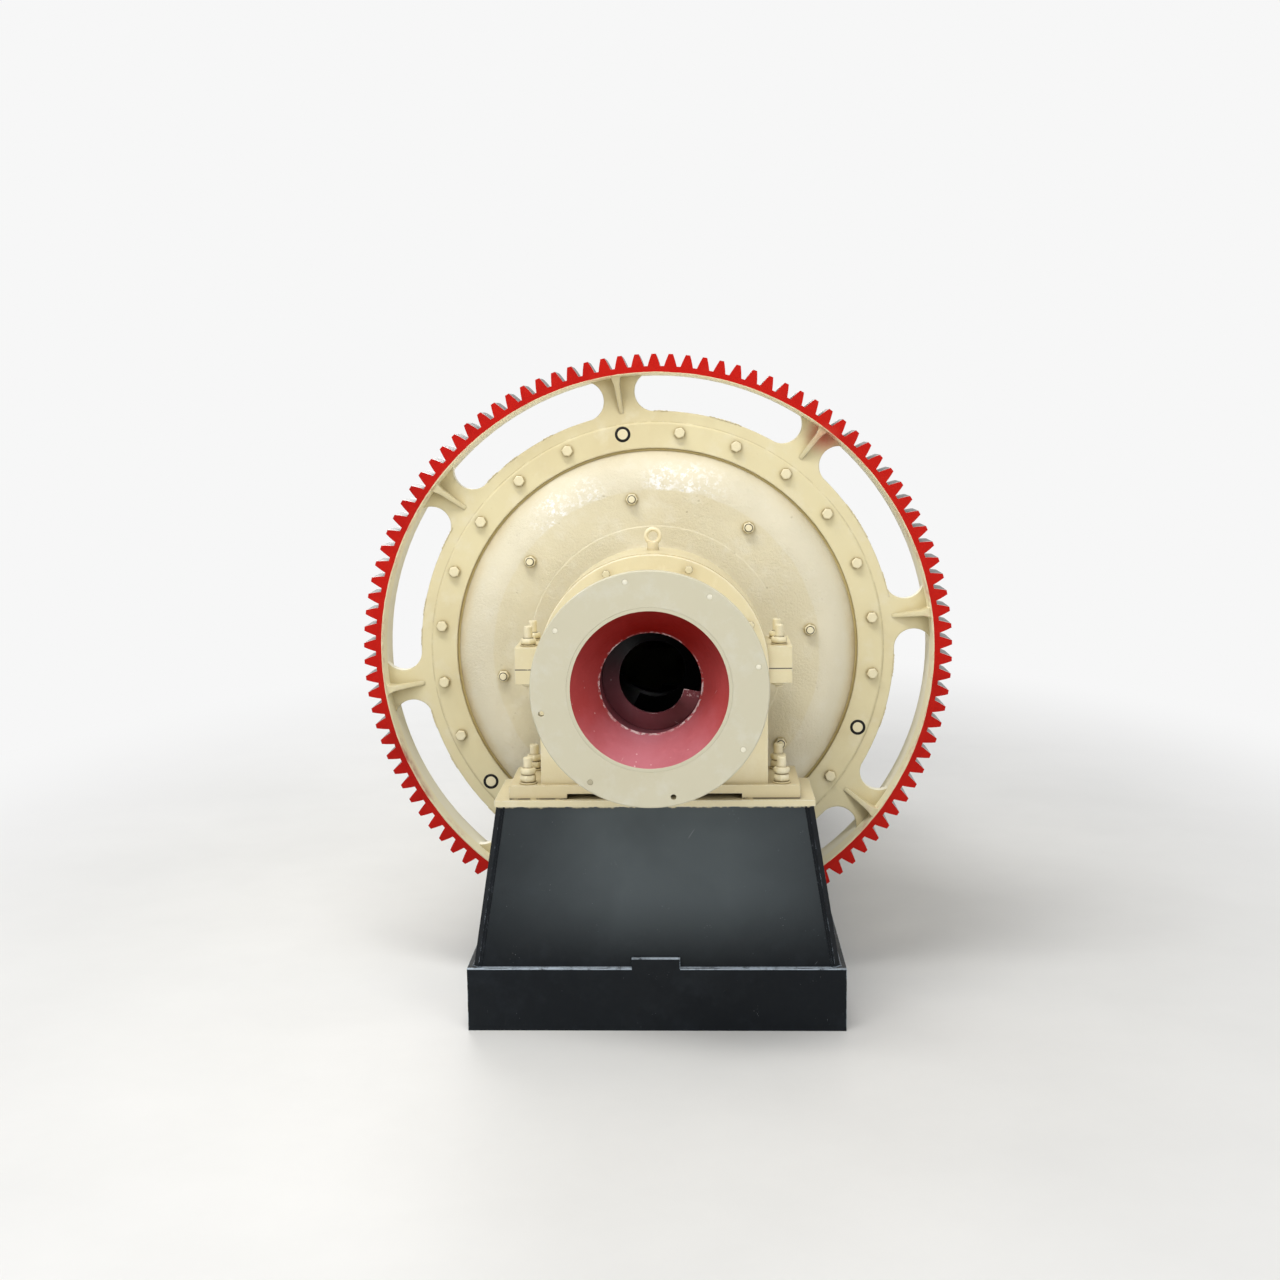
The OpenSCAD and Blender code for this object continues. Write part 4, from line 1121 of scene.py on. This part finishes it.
def castingFlash():
    b = slotFlash
    dice = random.Random(5)
    bm = bmesh.new()
    for i in range(b["slots"]):
        middle = b["turn"] + i * 360 / b["slots"]
        for k in range(b["runs"]):
            start = middle + dice.uniform(-b["half"], b["half"] - 5)
            length = dice.uniform(2.0, 6.0)
            points, normals = [], []
            for j in range(int(length / 0.25) + 2):
                a = math.radians(start + j * 0.25)
                away = Vector((math.sin(a), 0, math.cos(a)))
                depth = -b["front"] - dice.uniform(-0.0002, 0.0006)
                wander = b["radius"] + dice.uniform(-0.0006, 0.0006)
                points.append(axisPoint + away * wander + Vector((0, depth, 0)))
                normals.append((away - Vector((0, 0.7, 0))).normalized())
            weldBead(bm, points, normals, b["size"], dice.random(), ragged=0.45)
    return finishPiece("gear_casting_flash", bm, [creamPlate], "rotor")


castingFlash()
print("casting flash made")

# black rings round the gear's pins, painted shade of their clearance, and an olive-brown fill in the
# joint between hub bore and cover, its colour painted shade of the groove
pinShadeRing = dict(count=3, disc=0.0147, outer=0.0204, back=-0.0016)
jointFill = dict(inner=0.5226, outer=0.5302, along=-0.9545, deep=0.004, steps=240)


def pinShadeRings():
    b = pinShadeRing
    bm = bmesh.new()
    for i in range(b["count"]):
        turn = flangeBolt["turn"] + i * 360 / b["count"]
        at = onDrum(turn, flangeBolt["radius"], -gearPadFace, -1)
        ring = [(b["disc"], b["back"]), (b["outer"], b["back"]), (b["outer"], 0.0003),
            (b["disc"] + 0.0008, 0.0004)]
        lathe(bm, at, ring + [(b["disc"], 0.0001)], 36, slot=1)
        hexagon(bm, lifted(at, b["back"]), b["disc"] * 2.02, -b["back"] + 0.0006, turn=0.3)
    return finishPiece("gear_pin_seals", bm, [creamBolt, sealBlack], "rotor")


def hubJoint():
    b = jointFill
    dice = random.Random(31)
    middle = (b["inner"] + b["outer"]) / 2
    profile = [
        (b["inner"], 0), (middle, 0.0012), (b["outer"], -0.0004), (b["outer"], b["deep"]),
        (b["inner"], b["deep"]),
    ]
    sag = [dice.uniform(-0.0002, 0.0002) for k in range(b["steps"])]
    bm = bmesh.new()
    rings = []
    for radius, back in profile:
        ring = []
        for k in range(b["steps"]):
            a = 2 * math.pi * k / b["steps"]
            away = Vector((math.sin(a), 0, math.cos(a)))
            ring.append(
                bm.verts.new(axisPoint + away * radius + Vector((0, b["along"] + back + sag[k], 0))),
            )
        rings.append(ring)
    skinRings(bm, rings, 0, closed=True)
    return finishPiece("hub_joint_paint", bm, [creamJoint], "rotor")


pinShadeRings()
hubJoint()
print("pin seals and joint paint made")

# studs and nuts round each end cover
coverBolt = dict(
    count=8, radius=0.4045, turn=-8.3, face=1.018, flats=0.0265, nut=0.0140, washer=0.0172,
    washerThick=0.003,
    stud=0.009, tail=0.006, pitch=0.002,
)


def coverBolts(name, outward):
    b = coverBolt
    bm = bmesh.new()
    for i in range(b["count"]):
        at = onDrum(b["turn"] + i * 360 / b["count"], b["radius"], outward * b["face"], outward)
        washer(bm, at, b["washer"], b["washerThick"])
        hexagon(bm, lifted(at, b["washerThick"]), b["flats"], b["nut"], turn=0.7 * i, bothEnds=True)
        threadedRod(
            bm, lifted(at, b["washerThick"] + b["nut"]), b["stud"], b["tail"], b["pitch"], slot=1,
        )
    return finishPiece(name, bm, boltSet, "rotor")


coverBolts("discharge_cover_bolts", -1)
coverBolts("feed_cover_bolts", 1)

# small hexagon screws in the bearing cover rings
ringScrew = dict(
    count=8, radius=0.260, turn=20.0, face=-reach("discharge_outer_cover_ring", "y"), flats=0.017,
    head=0.007,
    washer=0.0105, washerThick=0.002,
)


def ringScrews(name, outward):
    b = ringScrew
    bm = bmesh.new()
    for i in range(b["count"]):
        at = onDrum(b["turn"] + i * 360 / b["count"], b["radius"], outward * b["face"], outward)
        washer(bm, at, b["washer"], b["washerThick"])
        hexagon(bm, lifted(at, b["washerThick"]), b["flats"], b["head"], turn=0.9 * i)
    return finishPiece(name, bm, boltSet, "frame")


ringScrews("discharge_ring_screws", -1)
ringScrews("feed_ring_screws", 1)

# plugs in most of the mouth flange holes: bright filled discs and one dull one
mouthPlug = dict(
    count=8, openOnes=(4, 6), dullOne=5, radius=0.250, turn=-12, size=0.0064,
    face=-reach("discharge_mouth_flange", "y"),
)


def mouthPlugs(name, outward):
    b = mouthPlug
    bm = bmesh.new()
    shape = [(b["size"], -0.008), (b["size"], -0.0005), (b["size"] * 0.9, -0.0001),
        (b["size"] * 0.3, -0.0001)]
    for i in range(b["count"]):
        if i in b["openOnes"]:
            continue
        at = onDrum(b["turn"] + i * 360 / b["count"], b["radius"], outward * b["face"], outward)
        lathe(bm, at, shape, 24, slot=1 if i == b["dullOne"] else 0)
    return finishPiece(name, bm, [plugDisc, plugGrey], "rotor")


mouthPlugs("discharge_mouth_plugs", -1)
mouthPlugs("feed_mouth_plugs", 1)
print("cover bolts, ring screws and plugs made")

# bearing studs: washers, nuts and threads in place of the plain CAD studs; the cap studs also
# carry a nut under the lower ears, the foundation studs a second nut on the first
capStud = dict(
    node="bearing_cap_studs", x=0.308, gap=0.112, foot=0.870, seat=0.960, size=0.011, flats=0.036,
    nut=0.016,
    second=0.0, pitch=0.0025, washer=0.0205, washerThick=0.003, under=0.010,
)
footStud = dict(
    node="foundation_studs", x=0.313, gap=0.162, foot=0.585, seat=0.620, size=0.012, flats=0.036,
    nut=0.019,
    second=0.016, pitch=0.003, washer=0.0225, washerThick=0.004, under=0.0,
)
bearingPlace = (reach("discharge_bearing_cap", "y") + reach("discharge_bearing_cap", "y", 1)) / -2


def oneStud(bm, b, at, dice):
    lathe(bm, lifted(at, b["foot"]), [(b["size"], 0), (b["size"], b["seat"] - b["foot"])], 24)
    washer(bm, lifted(at, b["seat"]), b["washer"], b["washerThick"])
    top = b["seat"] + b["washerThick"]
    hexagon(bm, lifted(at, top), b["flats"], b["nut"], turn=dice.uniform(0, 1), bothEnds=True)
    top += b["nut"]
    if b["second"]:
        hexagon(
            bm, lifted(at, top + 0.0004), b["flats"], b["second"], turn=dice.uniform(0, 1),
            bothEnds=True,
        )
        top += b["second"]
    end = reach(b["node"], "z", 1)
    threadedRod(bm, lifted(at, top), b["size"] - 0.0003, end - top, b["pitch"], slot=1)
    if b["under"]:
        down = lifted(at, b["foot"]) @ Matrix.Rotation(math.pi, 4, "X")
        hexagon(bm, down, b["flats"], b["under"], turn=dice.uniform(0, 1), bothEnds=True)
        threadedRod(bm, lifted(down, b["under"]), b["size"] - 0.0003, 0.005, b["pitch"], slot=1)


def bearingStuds(name, b):
    dice = random.Random(name)
    bm = bmesh.new()
    for end in (-1, 1):
        for x in (-b["x"], b["x"]):
            for step in (-1, 1):
                oneStud(
                    bm, b, Matrix.Translation((x, end * bearingPlace + step * b["gap"] / 2, 0)), dice,
                )
    return finishPiece(name, bm, boltSet, "frame", [b["node"]])


bearingStuds("bearing_cap_studs_threaded", capStud)
bearingStuds("foundation_studs_threaded", footStud)
print("bearing studs made")

# liner bolts in rows along the shell, left out where the manhole is
linerBolt = dict(
    rows=8, firstTurn=15, perRow=6, pitchAlong=0.265, shell=0.465, flats=0.030, nut=0.015, washer=0.022,
    stud=0.010, tail=0.014, pitch=0.0025, manholeTurn=105, keepOff=0.26,
)


def linerBolts():
    b = linerBolt
    dice = random.Random(11)
    bm = bmesh.new()
    for row in range(b["rows"]):
        turn = b["firstTurn"] + row * 360 / b["rows"]
        for i in range(b["perRow"]):
            y = (i - (b["perRow"] - 1) / 2) * b["pitchAlong"]
            if turn == b["manholeTurn"] and abs(y) < b["keepOff"]:
                continue
            at = onShell(turn, b["shell"] - 0.0006, y)
            lathe(
                bm, at, [(b["washer"], -0.001), (b["washer"], 0.003), (b["washer"] - 0.002, 0.0045)],
                28,
            )
            up = lifted(at, 0.0045)
            hexagon(bm, up, b["flats"], b["nut"], turn=dice.uniform(0, 1), bothEnds=True)
            threadedRod(bm, lifted(up, b["nut"]), b["stud"], b["tail"], b["pitch"], slot=1)
    return finishPiece("liner_bolts", bm, boltSet, "rotor")


linerBolts()

# manhole: studs with nuts round the cover
manhole = dict(
    turn=105, face=0.524, halfWide=0.130, alongs=(-0.175, 0.0, 0.175), flats=0.024, nut=0.013,
    washer=0.0145,
    washerThick=0.003, stud=0.008, tail=0.009, pitch=0.002,
)


def manholeBolts():
    b = manhole
    bm = bmesh.new()
    lift = onShell(b["turn"], b["face"], 0)
    for side in (-1, 1):
        for along in b["alongs"]:
            at = lift @ Matrix.Translation((side * b["halfWide"], along, 0))
            washer(bm, at, b["washer"], b["washerThick"])
            hexagon(
                bm, lifted(at, b["washerThick"]), b["flats"], b["nut"], turn=along * 9, bothEnds=True,
            )
            threadedRod(
                bm, lifted(at, b["washerThick"] + b["nut"]), b["stud"], b["tail"], b["pitch"], slot=1,
            )
    return finishPiece("manhole_bolts", bm, boltSet, "rotor")


manholeBolts()
print("liner and manhole bolts made")

# welds: drum flanges and seam in cream, pedestals in black
drumWeld = dict(shell=0.465, bead=0.0065, seamTurn=196, seamEnd=0.865)


def drumWelds():
    b = drumWeld
    bm = bmesh.new()
    for seed, side in ((1, -1), (2, 1)):
        ringWeld(bm, b["shell"] + 0.0015, side * (shellFlangeBack - 0.0015), -side, b["bead"], seed)
    a = math.radians(b["seamTurn"])
    away = Vector((math.sin(a), 0, math.cos(a)))
    low = axisPoint + away * (b["shell"] - 0.001)
    straightWeld(
        bm, low - Vector((0, b["seamEnd"], 0)), low + Vector((0, b["seamEnd"], 0)), away, 0.006, 3,
    )
    return finishPiece("drum_welds", bm, [creamPlate], "rotor")


drumWelds()

pedestal = dict(
    front=-reach("discharge_pedestal_front_plate", "y"),
    back=-reach("discharge_pedestal_rear_plate", "y", 1),
    plateFoot=reach("discharge_pedestal_front_plate", "x", 1), bevel=0.012,
    footX=reach("discharge_pedestal_side_plates", "x", 1), footZ=pedestalFoot, topZ=pedestalTop,
    lean=0.161,
)


def baseWelds():
    b = pedestal
    bm = bmesh.new()
    seed = 20
    rise = b["topZ"] - b["footZ"]
    for end in (-1, 1):
        for y, facing in ((end * b["front"], end), (end * b["back"], -end)):
            seed += 1
            foot = b["plateFoot"]
            straightWeld(
                bm, (-foot, y, b["footZ"]), (foot, y, b["footZ"]), (0, facing, 0.6), 0.0035, seed,
            )
            for side in (-1, 1):
                # up the joint between upright plate and leaning side plate
                seed += 1
                low = (side * foot, y, b["footZ"] + 0.002)
                high = (side * (foot - b["lean"] * rise), y, b["topZ"] - 0.002)
                straightWeld(bm, low, high, (0, facing, 0), 0.0026, seed)
        for side in (-1, 1):
            seed += 1
            x = side * b["footX"]
            start = (x, end * (b["back"] + b["bevel"]), b["footZ"])
            straightWeld(
                bm, start, (x, end * (b["front"] - b["bevel"]), b["footZ"]), (side, 0, 0.6), 0.0045,
                seed,
            )
    return finishPiece("base_welds", bm, [blackWeld], "frame")


baseWelds()
print("welds made")

# floor, light and background
room = dict(
    floor=(0.80, 0.80, 0.79), backdrop=(0.93, 0.93, 0.93), ambient=0.55, fadeFrom=1.3, fadeTo=3.4,
)
lamps = {
    "ceilingLamp": dict(place=(-0.8, -2.7, 4.4), aim=(0, -0.9, 0.9), size=(2.8, 0.9), power=101,
        tint=(1, 0.985, 0.95)),
    "leftFill": dict(place=(-3.0, -5.0, 2.7), aim=(0, -1.0, 0.9), size=(1.8, 2.0), power=33,
        tint=(1, 1, 1)),
    "rightFill": dict(place=(2.9, -5.2, 2.4), aim=(0, -1.0, 0.9), size=(2.0, 2.0), power=43,
        tint=(1, 1, 1)),
    "rearLamp": dict(place=(-1.5, 3.8, 3.6), aim=(0, 0.6, 0.9), size=(2.6, 2.0), power=80,
        tint=(1, 1, 1)),
}


def addLamp(name, b):
    lamp = bpy.data.lights.new(name, "AREA")
    lamp.shape = "RECTANGLE"
    lamp.size, lamp.size_y = b["size"]
    lamp.energy = b["power"]
    lamp.color = b["tint"]
    obj = bpy.data.objects.new(name, lamp)
    aim = Vector(b["aim"]) - Vector(b["place"])
    obj.matrix_world = Matrix.Translation(b["place"]) @ aim.to_track_quat("-Z", "Y").to_matrix().to_4x4(

    )
    bpy.context.collection.objects.link(obj)


def addFloor():
    bm = bmesh.new()
    bmesh.ops.create_grid(bm, x_segments=1, y_segments=1, size=20)
    mesh = bpy.data.meshes.new("floor")
    bm.to_mesh(mesh)
    bm.free()
    floor = bpy.data.objects.new("floor", mesh)
    bpy.context.collection.objects.link(floor)
    mat, tree, shader = newMaterial("paleFloor", Roughness=0.55)
    patches = remap(tree, noise(tree, objectPoint(tree), 1.3, detail=6, rough=0.6), 0.35, 0.7)
    put(tree, mixColor(tree, patches, room["floor"], [c * 0.94 for c in room["floor"]]),
        shader["Base Color"])
    # the far floor runs into the backdrop, for the eye only
    away = vectorCalc(tree, "LENGTH", stretched(tree, objectPoint(tree), (1, 0.62, 1)), out=1)
    rays = tree.nodes.new("ShaderNodeLightPath").outputs
    seen = calc(tree, "MAXIMUM", rays["Is Camera Ray"], rays["Is Glossy Ray"])
    fade = calc(
        tree, "MULTIPLY", remap(tree, away, room["fadeFrom"], room["fadeTo"], smooth=True), seen,
    )
    glow = tree.nodes.new("ShaderNodeEmission")
    glow.inputs["Color"].default_value = (*room["backdrop"], 1)
    blend = tree.nodes.new("ShaderNodeMixShader")
    tree.links.new(fade, blend.inputs[0])
    tree.links.new(tree.nodes["Principled BSDF"].outputs[0], blend.inputs[1])
    tree.links.new(glow.outputs[0], blend.inputs[2])
    tree.links.new(blend.outputs[0], tree.nodes["Material Output"].inputs["Surface"])
    mesh.materials.append(mat)


def addBackdrop():
    world = bpy.data.worlds.new("studio")
    bpy.context.scene.world = world
    world.use_nodes = True
    tree = world.node_tree
    backing = tree.nodes["Background"]
    backing.inputs["Color"].default_value = (*room["backdrop"], 1)
    rays = tree.nodes.new("ShaderNodeLightPath").outputs
    seen = calc(tree, "MAXIMUM", rays["Is Camera Ray"], rays["Is Glossy Ray"])
    seen = calc(tree, "MAXIMUM", seen, rays["Is Transmission Ray"])
    put(tree, remap(tree, seen, 0.0, 1.0, room["ambient"], 1.0), backing.inputs["Strength"])


addFloor()
addBackdrop()
for name, b in lamps.items():
    addLamp(name, b)
bpy.context.scene.view_settings.view_transform = "Standard"
print("room and lamps set")
